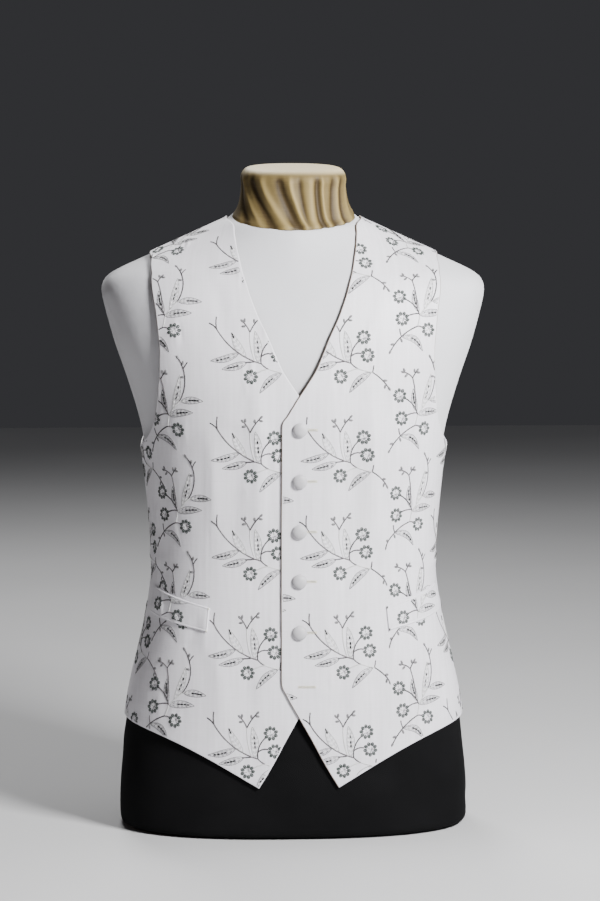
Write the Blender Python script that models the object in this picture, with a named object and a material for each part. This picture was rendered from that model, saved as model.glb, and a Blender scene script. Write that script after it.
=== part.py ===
"""Embroidered waistcoat, single-breasted with a deep V neck, buttoned up on a limbless dress form.

Metres, +Z up. The wearer faces -Y, so the wearer's left is at +X. The origin is at the middle of the
form's flat underside. Every piece of cloth is a wall that follows the form's surface at its own gap.
"""

import math

import bmesh
import bpy
import numpy as np

# Driving dimensions of the form, a general size 40 chest figure without arms or head
FORM_COLUMNS = ("z", "half_width", "front", "back", "power")
FORM_SECTIONS = (
    (0.0000, 0.1940, 0.1080, 0.1080, 2.50),
    (0.0030, 0.2000, 0.1150, 0.1160, 2.50),
    (0.0100, 0.2040, 0.1190, 0.1210, 2.50),
    (0.0500, 0.2035, 0.1210, 0.1240, 2.50),
    (0.1000, 0.1985, 0.1215, 0.1230, 2.50),
    (0.1400, 0.1940, 0.1205, 0.1180, 2.50),
    (0.1700, 0.1880, 0.1190, 0.1120, 2.50),
    (0.2050, 0.1790, 0.1165, 0.1040, 2.50),
    (0.2450, 0.1695, 0.1140, 0.0950, 2.50),
    (0.2850, 0.1630, 0.1120, 0.0890, 2.50),
    (0.3150, 0.1610, 0.1110, 0.0870, 2.50),
    (0.3500, 0.1630, 0.1125, 0.0885, 2.50),
    (0.4000, 0.1675, 0.1180, 0.0950, 2.50),
    (0.4440, 0.1730, 0.1235, 0.1030, 2.50),
    (0.4800, 0.1800, 0.1265, 0.1090, 2.48),
    (0.5230, 0.1930, 0.1265, 0.1140, 2.42),
    (0.5670, 0.2080, 0.1215, 0.1165, 2.38),
    (0.6050, 0.2185, 0.1125, 0.1130, 2.28),
    (0.6250, 0.2225, 0.1055, 0.1080, 2.18),
    (0.6370, 0.2200, 0.1000, 0.1030, 2.08),
    (0.6450, 0.2125, 0.0955, 0.0980, 1.98),
    (0.6525, 0.1990, 0.0910, 0.0930, 1.88),
    (0.6605, 0.1815, 0.0865, 0.0880, 1.79),
    (0.6685, 0.1640, 0.0820, 0.0830, 1.71),
    (0.6800, 0.1385, 0.0760, 0.0760, 1.63),
    (0.6900, 0.1165, 0.0710, 0.0700, 1.60),
    (0.7000, 0.0945, 0.0660, 0.0645, 1.66),
    (0.7075, 0.0785, 0.0620, 0.0605, 1.78),
    (0.7160, 0.0690, 0.0595, 0.0580, 1.98),
    (0.7270, 0.0635, 0.0580, 0.0565, 2.10),
    (0.7450, 0.0605, 0.0570, 0.0555, 2.15),
    (0.7560, 0.0610, 0.0570, 0.0560, 2.20),
    (0.7620, 0.0590, 0.0550, 0.0540, 2.20),
    (0.7660, 0.0545, 0.0505, 0.0495, 2.20),
    (0.7675, 0.0470, 0.0430, 0.0420, 2.20),
    (0.7680, 0.0250, 0.0225, 0.0220, 2.20),
)
NECK_TILT = 0.09
NECK_TILT_FROM = 0.722
NECK_TILT_FULL = 0.752
HIP_TOP = 0.200
NECK_SEAM_Z = 0.714
NECK_SEAM_SLOPE = 0.27
FORM_EVEN_FROM = 0.012
FORM_EVEN_TO = 0.634
FORM_AROUND = 44
FORM_BANDS = 32

# Cloth
SEAM_GAP = 0.0003
FRONT_WALL = 0.0020
BACK_WALL = 0.0014
EASE_COLUMNS = ("z", "gap")
EASE = (
    (0.050, 0.0020),
    (0.150, 0.0020),
    (0.200, 0.0028),
    (0.300, 0.0034),
    (0.450, 0.0036),
    (0.560, 0.0034),
    (0.620, 0.0024),
    (0.655, 0.0012),
    (0.690, 0.0008),
    (0.730, 0.0008),
)

# Each row runs from a point of the inner edge (x, z) to a point of the side edge (turn, z), where a turn is
# the share of the quarter between the centre line and the side. The rows go from the hem to the shoulder, and
# bands is how many rows of faces lead to the next row. An inner edge at CREST lies on the shoulder's ridge.
CREST = 1.0
PANEL_COLUMNS = ("edge_x", "edge_z", "side_turn", "side_z", "hem_swell", "bands")
FRONT_ROWS = (
    (0.0463, 0.0615, 0.9550, 0.1300, 0.0180, 1),
    (0.0370, 0.0765, 0.9550, 0.1420, 0.0150, 1),
    (0.0280, 0.0920, 0.9550, 0.1550, 0.0120, 2),
    (0.0140, 0.1180, 0.9560, 0.1760, 0.0075, 1),
    (0.0000, 0.1425, 0.9570, 0.1960, 0.0040, 1),
    (-0.0140, 0.1670, 0.9580, 0.2170, 0.0015, 1),
    (-0.0205, 0.1820, 0.9590, 0.2300, 0.0005, 2),
    (-0.0205, 0.2187, 0.9600, 0.2610, 0.0000, 2),
    (-0.0205, 0.2418, 0.9610, 0.2930, 0.0000, 3),
    (-0.0205, 0.2980, 0.9650, 0.3350, 0.0000, 2),
    (-0.0205, 0.3500, 0.9720, 0.3680, 0.0000, 2),
    (-0.0205, 0.4050, 0.9850, 0.4020, 0.0000, 2),
    (-0.0205, 0.4480, 0.9950, 0.4300, 0.0000, 1),
    (-0.0205, 0.4780, 0.9990, 0.4440, 0.0000, 1),
    (-0.0130, 0.4910, 0.9300, 0.4470, 0.0000, 1),
    (-0.0030, 0.5070, 0.8400, 0.4530, 0.0000, 1),
    (0.0090, 0.5245, 0.7650, 0.4610, 0.0000, 1),
    (0.0185, 0.5390, 0.7150, 0.4720, 0.0000, 1),
    (0.0262, 0.5555, 0.6780, 0.4850, 0.0000, 1),
    (0.0340, 0.5740, 0.6420, 0.5070, 0.0000, 2),
    (0.0460, 0.5990, 0.6020, 0.5410, 0.0000, 1),
    (0.0530, 0.6170, 0.5880, 0.5650, 0.0000, 2),
    (0.0600, 0.6390, 0.5960, 0.5980, 0.0000, 2),
    (0.0650, 0.6590, 0.6180, 0.6240, 0.0000, 2),
    (0.0685, 0.6760, 0.6620, 0.6420, 0.0000, 2),
    (0.0705, 0.6900, 0.7600, 0.6545, 0.0000, 2),
    (0.0720, 0.7010, 0.8600, 0.6625, 0.0000, 3),
    (CREST, 0.7095, 1.0000, 0.6685, 0.0000, 0),
)
BACK_ROWS = (
    (0.0000, 0.1180, 1.0450, 0.1300, -0.0040, 2),
    (0.0000, 0.1600, 1.0440, 0.1760, -0.0020, 2),
    (0.0000, 0.2100, 1.0410, 0.2300, 0.0000, 2),
    (0.0000, 0.2600, 1.0390, 0.2775, 0.0000, 2),
    (0.0000, 0.3150, 1.0350, 0.3240, 0.0000, 2),
    (0.0000, 0.3700, 1.0260, 0.3700, 0.0000, 2),
    (0.0000, 0.4250, 1.0120, 0.4110, 0.0000, 1),
    (0.0000, 0.4550, 1.0010, 0.4440, 0.0000, 1),
    (0.0000, 0.4770, 0.9300, 0.4470, 0.0000, 1),
    (0.0000, 0.4980, 0.8500, 0.4540, 0.0000, 1),
    (0.0000, 0.5200, 0.7800, 0.4650, 0.0000, 1),
    (0.0000, 0.5420, 0.7300, 0.4810, 0.0000, 1),
    (0.0000, 0.5650, 0.6950, 0.5020, 0.0000, 2),
    (0.0000, 0.6000, 0.6600, 0.5400, 0.0000, 2),
    (0.0000, 0.6330, 0.6360, 0.5800, 0.0000, 2),
    (0.0000, 0.6600, 0.6260, 0.6140, 0.0000, 2),
    (0.0000, 0.6780, 0.6500, 0.6360, 0.0000, 2),
    (0.0000, 0.6900, 0.7300, 0.6510, 0.0000, 2),
    (0.0300, 0.6935, 0.8300, 0.6595, 0.0000, 1),
    (0.0480, 0.6975, 0.8900, 0.6635, 0.0000, 1),
    (0.0620, 0.7025, 0.9400, 0.6660, 0.0000, 1),
    (0.0700, 0.7062, 0.9700, 0.6675, 0.0000, 2),
    (CREST, 0.7095, 1.0000, 0.6685, 0.0000, 0),
)
FRONT_COLUMNS_OF_FACES = 14
BACK_COLUMNS_OF_FACES = 12

# The wearer's left front laps over the right one
LAP_LIFT = 0.0026
LAP_FULL_X = 0.0225
LAP_GONE_X = 0.0520
LAP_FULL_Z = (0.1350, 0.5150)
LAP_GONE_Z = (0.0800, 0.5700)

# Trim
WELT_ROWS = (7, 8)
WELT_SPAN = (7, 12)
WELT_WALL = 0.0016
BUTTON_X = 0.0010
BUTTON_TOP_Z = 0.4740
BUTTON_STEP = 0.0584
BUTTON_COUNT = 5
BUTTON_RADIUS = 0.0084
BUTTON_FOOT_RADIUS = 0.0077
BUTTON_DOME_RADIUS = 0.0081
BUTTON_DOME = 0.0034
BUTTON_EDGE = 0.0016
BUTTON_SEAT = 0.0005
BUTTON_SIDES = 20
BUTTON_RINGS = 3

# Fineness of the curves that the shapes are read from
SPLINE_STEPS = 24
QUARTER_SAMPLES = 129
SLOPE_STEP = 1e-4
TURN_STEP = 1e-3
CUT_MERGE = 1e-6
CLOTH_SHARP = math.radians(40)
FIRM_SHARP = math.radians(50)


def spline_table(columns, rows, steps):
    """A table's columns as smooth dense arrays that pass through every row."""
    table = np.array(rows, float)
    ends = np.vstack([2 * table[0] - table[1], table, 2 * table[-1] - table[-2]])
    out = []
    for i in range(len(table) - 1):
        p0, p1, p2, p3 = ends[i : i + 4]
        t = np.linspace(0, 1, steps, endpoint=False)[:, None]
        out.append(
            p1
            + 0.5 * t * (p2 - p0)
            + t**2 * (p0 - 2.5 * p1 + 2 * p2 - 0.5 * p3)
            + t**3 * (-0.5 * p0 + 1.5 * p1 - 1.5 * p2 + 0.5 * p3)
        )
    dense = np.vstack(out + [table[-1:]])
    return {name: dense[:, i] for i, name in enumerate(columns)}


FORM = spline_table(FORM_COLUMNS, FORM_SECTIONS, SPLINE_STEPS)
GAP = spline_table(EASE_COLUMNS, EASE, SPLINE_STEPS)


def section(z, name):
    """One column of the form's table at height z."""
    return np.interp(z, FORM["z"], FORM[name])


def ease(z):
    """The gap between the form and the cloth at height z."""
    return np.interp(z, GAP["z"], GAP["gap"])


def smooth_step(value, start, end):
    """0 at start, 1 at end, level at both."""
    t = np.clip((value - start) / (end - start), 0, 1)
    return t * t * (3 - 2 * t)


def quarter(z, depth):
    """Angles along a quarter of each section, and the share of its length up to each angle."""
    share = np.linspace(0, 1, QUARTER_SAMPLES)
    angle = 0.25 * math.pi * (1 - np.cos(math.pi * share))[None, :]
    power = (2 / section(z, "power"))[:, None]
    x = section(z, "half_width")[:, None] * np.sin(angle) ** power
    y = depth[:, None] * np.cos(angle).clip(0) ** power
    run = np.cumsum(np.hypot(np.diff(x), np.diff(y)), axis=1)
    run = np.hstack([np.zeros((len(run), 1)), run])
    return angle[0], run / run[:, -1:]


def form_points(z, turn):
    """Points of the form. A turn of 0 is the centre front, 1 the wearer's left side, 2 the centre back."""
    z, turn = np.broadcast_arrays(np.asarray(z, float), np.asarray(turn, float))
    shape, z, turn = z.shape, z.ravel(), turn.ravel()
    turn = (turn + 2) % 4 - 2
    side = np.where(turn < 0, -1.0, 1.0)
    from_front = np.abs(turn)
    behind = from_front > 1
    depth = np.where(behind, section(z, "back"), section(z, "front"))
    share = np.where(behind, 2 - from_front, from_front)
    angles, run = quarter(z, depth)
    angle = np.array([np.interp(at, lengths, angles) for at, lengths in zip(share, run)])
    power = 2 / section(z, "power")
    x = side * section(z, "half_width") * np.sin(angle) ** power
    y = np.where(behind, 1, -1) * depth * np.cos(angle).clip(0) ** power
    tilt = NECK_TILT * smooth_step(z, NECK_TILT_FROM, NECK_TILT_FULL)
    return np.stack([x, y, z + tilt * y], axis=1).reshape(shape + (3,))


def form_normals(z, turn):
    """Unit normals of the form, pointing out."""
    across = form_points(z, turn + TURN_STEP) - form_points(z, turn - TURN_STEP)
    up = form_points(z + SLOPE_STEP, turn) - form_points(z - SLOPE_STEP, turn)
    normal = np.cross(across, up)
    return normal / np.linalg.norm(normal, axis=-1, keepdims=True)


def turn_of(x, z, wall, behind):
    """The turn, from the centre front or the centre back, at which the cloth's outer face has this x."""
    ratio = np.clip(np.abs(x) / (section(z, "half_width") + ease(z) + wall), 0, 1)
    angle = np.arcsin(ratio ** (section(z, "power") / 2))
    angles, run = quarter(z, section(z, "back") if behind else section(z, "front"))
    share = np.array([np.interp(a, angles, lengths) for a, lengths in zip(angle, run)])
    return np.where(x < 0, -share, share)


def cloth_points(z, turn, offset):
    """Points of a layer of cloth at this offset from the form."""
    return form_points(z, turn) + form_normals(z, turn) * np.asarray(offset)[..., None]


def panel_chart(rows, across, wall, behind):
    """The heights and turns of a panel's grid of points, row by row from its hem to its shoulder."""
    table = {name: np.array([row[i] for row in rows]) for i, name in enumerate(PANEL_COLUMNS)}
    on_crest = table["edge_x"] == CREST
    edge_turn = turn_of(np.where(on_crest, 0.0, table["edge_x"]), table["edge_z"], wall, behind)
    table["edge_turn"] = np.where(on_crest, 1.0, edge_turn)
    stations = band_ends(table["bands"])
    fine = {name: np.interp(np.arange(stations[-1] + 1), stations, known) for name, known in table.items()}
    edge, edge_z, side_z = fine["edge_turn"], fine["edge_z"], fine["side_z"]
    side = fine["side_turn"] - 0.5 * SEAM_GAP / quarter_length(side_z, behind)
    edge[-1] = side[-1]
    share = np.linspace(0, 1, across + 1)
    swell = fine["hem_swell"][:, None] * np.sin(math.pi * share)
    z = edge_z[:, None] * (1 - share) + side_z[:, None] * share + swell
    turn = edge[:, None] * (1 - share) + side[:, None] * share
    return z, turn


def band_ends(bands):
    """The grid row at which each row of a panel's table lies."""
    return np.concatenate([[0], np.cumsum(bands[:-1])]).astype(int)


def quarter_length(z, behind):
    """Length of a quarter of the form's section, near enough for a seam allowance."""
    depth = section(z, "back") if behind else section(z, "front")
    return np.hypot(section(z, "half_width"), depth)


def lap_lift(z, turn):
    """How far the over front stands off to clear the under front's edge."""
    x = turn * quarter_length(z, behind=False)
    across = 1 - smooth_step(x, LAP_FULL_X, LAP_GONE_X)
    below = smooth_step(z, LAP_GONE_Z[0], LAP_FULL_Z[0])
    above = 1 - smooth_step(z, LAP_FULL_Z[1], LAP_GONE_Z[1])
    return LAP_LIFT * across * below * above


def front_offset(z, turn, laps_over):
    """Offset of a front's inner face from the form."""
    return ease(z) + (lap_lift(z, turn) if laps_over else 0.0)


def wall_mesh(name, inner, outer, flip):
    """A closed wall between two grids of points, edged all round, with each square split the same way."""
    rows, columns = inner.shape[:2]
    top, last = rows - 1, columns - 1
    count = rows * columns
    points = np.concatenate([outer.reshape(-1, 3), inner.reshape(-1, 3)])

    def at(row, column, layer):
        return layer * count + row * columns + column

    corners = []
    for r in range(rows - 1):
        for c in range(columns - 1):
            corners.append((at(r, c, 0), at(r, c + 1, 0), at(r + 1, c + 1, 0), at(r + 1, c, 0)))
            corners.append((at(r + 1, c + 1, 1), at(r, c + 1, 1), at(r, c, 1), at(r + 1, c, 1)))
    for c in range(columns - 1):
        corners.append((at(0, c, 1), at(0, c + 1, 1), at(0, c + 1, 0), at(0, c, 0)))
        corners.append((at(top, c, 0), at(top, c + 1, 0), at(top, c + 1, 1), at(top, c, 1)))
    for r in range(rows - 1):
        corners.append((at(r, 0, 0), at(r + 1, 0, 0), at(r + 1, 0, 1), at(r, 0, 1)))
        corners.append((at(r, last, 1), at(r + 1, last, 1), at(r + 1, last, 0), at(r, last, 0)))
    faces = [face for four in corners for face in (four[:3], (four[0], four[2], four[3]))]
    if flip:
        faces = [face[::-1] for face in faces]
    mesh = bpy.data.meshes.new(name)
    mesh.from_pydata(points.tolist(), [], faces)
    mesh.shade_smooth()
    mesh.set_sharp_from_angle(angle=CLOTH_SHARP)
    return mesh


def material(name, colour, roughness, metallic=0.0):
    """A Principled finish."""
    made = bpy.data.materials.new(name)
    made.use_nodes = True
    shader = made.node_tree.nodes["Principled BSDF"]
    shader.inputs["Base Color"].default_value = (*colour, 1.0)
    shader.inputs["Roughness"].default_value = roughness
    shader.inputs["Metallic"].default_value = metallic
    return made


def place(name, mesh, finish):
    """Adds a mesh to the scene as a named piece."""
    piece = bpy.data.objects.new(name, mesh)
    piece.data.materials.append(finish)
    bpy.context.scene.collection.objects.link(piece)
    return piece


def mirrored(points, side):
    """Points moved to the wearer's right where side is -1."""
    return points * np.array([side, 1.0, 1.0])


def front_grid(laps_over):
    """The heights, turns and inner offsets of a front's grid."""
    z, turn = panel_chart(FRONT_ROWS, FRONT_COLUMNS_OF_FACES, FRONT_WALL, behind=False)
    return z, turn, front_offset(z, turn, laps_over)


def make_front(name, side, laps_over, finish):
    """A front: V neck, straight buttoning edge, cutaway to a point, hem, side seam and armhole."""
    z, turn, offset = front_grid(laps_over)
    inner = mirrored(cloth_points(z, turn, offset), side)
    outer = mirrored(cloth_points(z, turn, offset + FRONT_WALL), side)
    return place(name, wall_mesh(name, inner, outer, flip=side < 0), finish)


def make_back(name, side, finish):
    """Half of the back, from the centre back seam to the side seam and armhole."""
    z, turn = panel_chart(BACK_ROWS, BACK_COLUMNS_OF_FACES, BACK_WALL, behind=True)
    from_centre = np.maximum(turn, 0.5 * SEAM_GAP / quarter_length(z, behind=True))
    turn = 2 - from_centre
    offset = ease(z)
    inner = mirrored(cloth_points(z, turn, offset), side)
    outer = mirrored(cloth_points(z, turn, offset + BACK_WALL), side)
    return place(name, wall_mesh(name, inner, outer, flip=side > 0), finish)


def make_welt(name, side, laps_over, finish):
    """A slanting welt, made from the front's own points moved out."""
    z, turn, offset = front_grid(laps_over)
    ends = band_ends([row[-1] for row in FRONT_ROWS])
    over = slice(ends[WELT_ROWS[0]], ends[WELT_ROWS[1]] + 1), slice(WELT_SPAN[0], WELT_SPAN[1] + 1)
    z, turn, seat = z[over], turn[over], offset[over] + FRONT_WALL + SEAM_GAP
    inner = mirrored(cloth_points(z, turn, seat), side)
    outer = mirrored(cloth_points(z, turn, seat + WELT_WALL), side)
    return place(name, wall_mesh(name, inner, outer, flip=side < 0), finish)


def button_profile():
    """Radii and heights of a button's rings, from its foot to just below its crown."""
    edge = BUTTON_EDGE
    profile = [(BUTTON_FOOT_RADIUS, 0.0), (BUTTON_RADIUS, 0.5 * edge), (BUTTON_DOME_RADIUS, edge)]
    for ring in range(1, BUTTON_RINGS):
        angle = 0.5 * math.pi * ring / BUTTON_RINGS
        profile.append((BUTTON_DOME_RADIUS * math.cos(angle), edge + BUTTON_DOME * math.sin(angle)))
    return profile


def make_button(name, z, finish):
    """A cloth-covered domed button, seated on the over front."""
    here = np.array([z])
    turn = turn_of(np.array([BUTTON_X]), here, FRONT_WALL, behind=False)
    seat = front_offset(here, turn, laps_over=True) + FRONT_WALL + BUTTON_SEAT
    centre = cloth_points(here, turn, seat)[0]
    normal = form_normals(here, turn)[0]
    shell = bmesh.new()
    across = np.cross([0.0, 0.0, 1.0], normal)
    across /= np.linalg.norm(across)
    up = np.cross(normal, across)
    rings = []
    for radius, height in button_profile():
        ring = []
        for k in range(BUTTON_SIDES):
            angle = 2 * math.pi * k / BUTTON_SIDES
            point = centre + normal * height + radius * (across * math.cos(angle) + up * math.sin(angle))
            ring.append(shell.verts.new(point))
        rings.append(ring)
    for low, high in zip(rings, rings[1:]):
        for k in range(BUTTON_SIDES):
            shell.faces.new((low[k], low[k - 1], high[k - 1], high[k]))
    crown = shell.verts.new(centre + normal * (BUTTON_EDGE + BUTTON_DOME))
    for k in range(BUTTON_SIDES):
        shell.faces.new((rings[-1][k], rings[-1][k - 1], crown))
    shell.faces.new(rings[0])
    bmesh.ops.recalc_face_normals(shell, faces=shell.faces)
    mesh = bpy.data.meshes.new(name)
    shell.to_mesh(mesh)
    shell.free()
    mesh.shade_smooth()
    mesh.set_sharp_from_angle(angle=FIRM_SHARP)
    return place(name, mesh, finish)


def whole_form():
    """The form as one closed shape, to be cut at its seams, with finer bands over the shoulders."""
    listed = np.array([row[0] for row in FORM_SECTIONS])
    even = np.linspace(FORM_EVEN_FROM, FORM_EVEN_TO, FORM_BANDS)
    ends = listed[(listed < FORM_EVEN_FROM) | (listed > FORM_EVEN_TO)]
    shoulder = ends[(ends > FORM_EVEN_TO) & (ends < NECK_SEAM_Z)]
    between = 0.5 * (shoulder[1:] + shoulder[:-1])
    heights = np.sort(np.concatenate([ends, even, between]))
    turns = np.linspace(-2, 2, FORM_AROUND, endpoint=False)
    points = form_points(heights[:, None], turns[None, :])
    shell = bmesh.new()
    rings = [[shell.verts.new(point) for point in ring] for ring in points]
    for low, high in zip(rings, rings[1:]):
        for k in range(FORM_AROUND):
            shell.faces.new((low[k - 1], low[k], high[k], high[k - 1]))
    shell.faces.new(rings[0][::-1])
    shell.faces.new(rings[-1])
    bmesh.ops.recalc_face_normals(shell, faces=shell.faces)
    return shell


def make_form_piece(name, planes, finish):
    """A piece of the form between planes, each given by a point and the direction that is cut away."""
    shell = whole_form()
    for point, away in planes:
        whole = list(shell.verts) + list(shell.edges) + list(shell.faces)
        cut = {"plane_co": point, "plane_no": away, "dist": CUT_MERGE}
        bmesh.ops.bisect_plane(shell, geom=whole, clear_outer=True, **cut)
        rim = [edge for edge in shell.edges if edge.is_boundary]
        bmesh.ops.contextual_create(shell, geom=rim)
    bmesh.ops.recalc_face_normals(shell, faces=shell.faces)
    mesh = bpy.data.meshes.new(name)
    shell.to_mesh(mesh)
    shell.free()
    mesh.shade_smooth()
    mesh.set_sharp_from_angle(angle=FIRM_SHARP)
    return place(name, mesh, finish)


def make_form():
    """The form's three covered pieces: black hips, pale torso and gold neck."""
    jersey = material("form_jersey", (0.80, 0.80, 0.82), 0.75)
    black = material("form_black_cloth", (0.012, 0.012, 0.013), 0.65)
    gold = material("neck_silk", (0.38, 0.29, 0.13), 0.35)
    seam_up = np.array([0.0, -NECK_SEAM_SLOPE, 1.0])
    seam_up /= np.linalg.norm(seam_up)
    neck_seam = np.array([0.0, 0.0, NECK_SEAM_Z])
    make_form_piece("form_hip", [((0, 0, HIP_TOP), (0, 0, 1))], black)
    torso_planes = [((0, 0, HIP_TOP + SEAM_GAP), (0, 0, -1)), (neck_seam, seam_up)]
    make_form_piece("form_torso", torso_planes, jersey)
    make_form_piece("form_neck", [(neck_seam + seam_up * SEAM_GAP, -seam_up)], gold)


def make_waistcoat():
    """The waistcoat's pieces as they are cut and sewn on."""
    silk = material("embroidered_silk", (0.80, 0.78, 0.76), 0.45)
    satin = material("back_satin", (0.82, 0.81, 0.80), 0.28)
    covered = material("button_silk", (0.78, 0.76, 0.74), 0.42)
    make_front("front_left", 1, True, silk)
    make_front("front_right", -1, False, silk)
    make_back("back_left", 1, satin)
    make_back("back_right", -1, satin)
    make_welt("welt_left", 1, True, silk)
    make_welt("welt_right", -1, False, silk)
    for k in range(BUTTON_COUNT):
        make_button(f"button_{k + 1}", BUTTON_TOP_Z - k * BUTTON_STEP, covered)


def clear_scene():
    """Removes what the scene holds at the start."""
    for obj in list(bpy.data.objects):
        bpy.data.objects.remove(obj)


def main():
    clear_scene()
    make_form()
    make_waistcoat()


main()
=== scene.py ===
# %% [markdown]
# # An embroidered waistcoat on a limbless dress form
#
# The imported model gives this scene its frame: metres, Z up, the wearer facing -Y, and the wearer's left
# at +X. The imported solids are plain. Here each one gets a finer piece with the same form, and the silk,
# its embroidery, the covered buttons and the form's cloths get their finish. The model is loaded first.

# %% Load the imported model
import math

import bmesh
import bpy
import numpy as np
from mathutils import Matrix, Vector


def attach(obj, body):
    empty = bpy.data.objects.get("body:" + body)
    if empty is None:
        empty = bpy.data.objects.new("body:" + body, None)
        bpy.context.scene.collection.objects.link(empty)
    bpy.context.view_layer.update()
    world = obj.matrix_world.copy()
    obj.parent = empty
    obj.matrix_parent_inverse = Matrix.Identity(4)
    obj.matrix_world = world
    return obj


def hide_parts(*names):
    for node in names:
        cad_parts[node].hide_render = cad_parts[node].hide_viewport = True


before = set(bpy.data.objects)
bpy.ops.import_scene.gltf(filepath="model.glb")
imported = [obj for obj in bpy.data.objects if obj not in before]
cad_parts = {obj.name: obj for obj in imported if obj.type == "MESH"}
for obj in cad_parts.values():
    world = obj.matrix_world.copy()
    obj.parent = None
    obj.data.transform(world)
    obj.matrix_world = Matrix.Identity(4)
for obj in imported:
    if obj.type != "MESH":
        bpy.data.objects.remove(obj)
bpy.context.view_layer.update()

# %% [markdown]
# ## The form that all the cloth follows
#
# A tailor's form is a stack of smooth cross-sections. Each row below is one section: its height, its
# half width, how deep it is in front and behind, and the power that makes it squarer than an ellipse.
# A smooth curve through every column gives the form at any height. A place on it is a height and a turn,
# where 0 is the centre front, 1 the wearer's left side, 2 the centre back and -1 the wearer's right side.
# Cloth is the same place moved out along the surface's normal, so no piece has to be fitted by eye.

# %% Sections of the form and the gap under the cloth
FORM_COLUMNS = ("z", "half_width", "front", "back", "power")
FORM_SECTIONS = (
    (0.0, 0.194, 0.108, 0.108, 2.5),
    (0.003, 0.2, 0.115, 0.116, 2.5),
    (0.01, 0.204, 0.119, 0.121, 2.5),
    (0.05, 0.2035, 0.121, 0.124, 2.5),
    (0.1, 0.1985, 0.1215, 0.123, 2.5),
    (0.14, 0.194, 0.1205, 0.118, 2.5),
    (0.17, 0.188, 0.119, 0.112, 2.5),
    (0.205, 0.179, 0.1165, 0.104, 2.5),
    (0.245, 0.1695, 0.114, 0.095, 2.5),
    (0.285, 0.163, 0.112, 0.089, 2.5),
    (0.315, 0.161, 0.111, 0.087, 2.5),
    (0.35, 0.163, 0.1125, 0.0885, 2.5),
    (0.4, 0.1675, 0.118, 0.095, 2.5),
    (0.444, 0.173, 0.1235, 0.103, 2.5),
    (0.48, 0.18, 0.1265, 0.109, 2.48),
    (0.523, 0.193, 0.1265, 0.114, 2.42),
    (0.567, 0.208, 0.1215, 0.1165, 2.38),
    (0.605, 0.2185, 0.1125, 0.113, 2.28),
    (0.625, 0.2225, 0.1055, 0.108, 2.18),
    (0.637, 0.22, 0.1, 0.103, 2.08),
    (0.645, 0.2125, 0.0955, 0.098, 1.98),
    (0.6525, 0.199, 0.091, 0.093, 1.88),
    (0.6605, 0.1815, 0.0865, 0.088, 1.79),
    (0.6685, 0.164, 0.082, 0.083, 1.71),
    (0.68, 0.1385, 0.076, 0.076, 1.63),
    (0.69, 0.1165, 0.071, 0.07, 1.6),
    (0.7, 0.0945, 0.066, 0.0645, 1.66),
    (0.7075, 0.0785, 0.062, 0.0605, 1.78),
    (0.716, 0.069, 0.0595, 0.058, 1.98),
    (0.727, 0.0635, 0.058, 0.0565, 2.1),
    (0.745, 0.0605, 0.057, 0.0555, 2.15),
    (0.756, 0.061, 0.057, 0.056, 2.2),
    (0.762, 0.059, 0.055, 0.054, 2.2),
    (0.766, 0.0545, 0.0505, 0.0495, 2.2),
    (0.7675, 0.047, 0.043, 0.042, 2.2),
    (0.768, 0.025, 0.0225, 0.022, 2.2),
)
NECK_TILT, NECK_TILT_FROM, NECK_TILT_FULL = 0.09, 0.722, 0.752
HIP_TOP, NECK_SEAM_Z, NECK_SEAM_SLOPE = 0.2, 0.714, 0.27
SEAM_GAP, FRONT_WALL, BACK_WALL = 0.0003, 0.002, 0.0014
EASE_COLUMNS = ("z", "gap")
EASE = (
    (0.05, 0.002),
    (0.15, 0.002),
    (0.2, 0.0028),
    (0.3, 0.0034),
    (0.45, 0.0036),
    (0.56, 0.0034),
    (0.62, 0.0024),
    (0.655, 0.0012),
    (0.69, 0.0008),
    (0.73, 0.0008),
)
LAP_LIFT, LAP_FULL_X, LAP_GONE_X = 0.0026, 0.0225, 0.052
LAP_FULL_Z, LAP_GONE_Z = (0.135, 0.515), (0.08, 0.57)
SPLINE_STEPS, QUARTER_SAMPLES = 24, 129
SLOPE_STEP, TURN_STEP = 1e-4, 1e-3


def spline_table(columns, rows, steps):
    """A table's columns as smooth dense arrays that pass through every row."""
    table = np.array(rows, float)
    ends = np.vstack([2 * table[0] - table[1], table, 2 * table[-1] - table[-2]])
    out = []
    for i in range(len(table) - 1):
        p0, p1, p2, p3 = ends[i : i + 4]
        t = np.linspace(0, 1, steps, endpoint=False)[:, None]
        out.append(
            p1
            + 0.5 * t * (p2 - p0)
            + t**2 * (p0 - 2.5 * p1 + 2 * p2 - 0.5 * p3)
            + t**3 * (-0.5 * p0 + 1.5 * p1 - 1.5 * p2 + 0.5 * p3)
        )
    dense = np.vstack(out + [table[-1:]])
    return {name: dense[:, i] for i, name in enumerate(columns)}


FORM = spline_table(FORM_COLUMNS, FORM_SECTIONS, SPLINE_STEPS)
GAP = spline_table(EASE_COLUMNS, EASE, SPLINE_STEPS)
print("form sections:", len(FORM_SECTIONS), "made into", len(FORM["z"]), "smooth ones")


# %% Places and directions on the form
def section(z, name):
    """One column of the form's table at height z."""
    return np.interp(z, FORM["z"], FORM[name])


def ease(z):
    """The gap between the form and the cloth at height z."""
    return np.interp(z, GAP["z"], GAP["gap"])


def smooth_step(value, start, end):
    """0 at start, 1 at end, level at both."""
    t = np.clip((value - start) / (end - start), 0, 1)
    return t * t * (3 - 2 * t)


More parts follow.
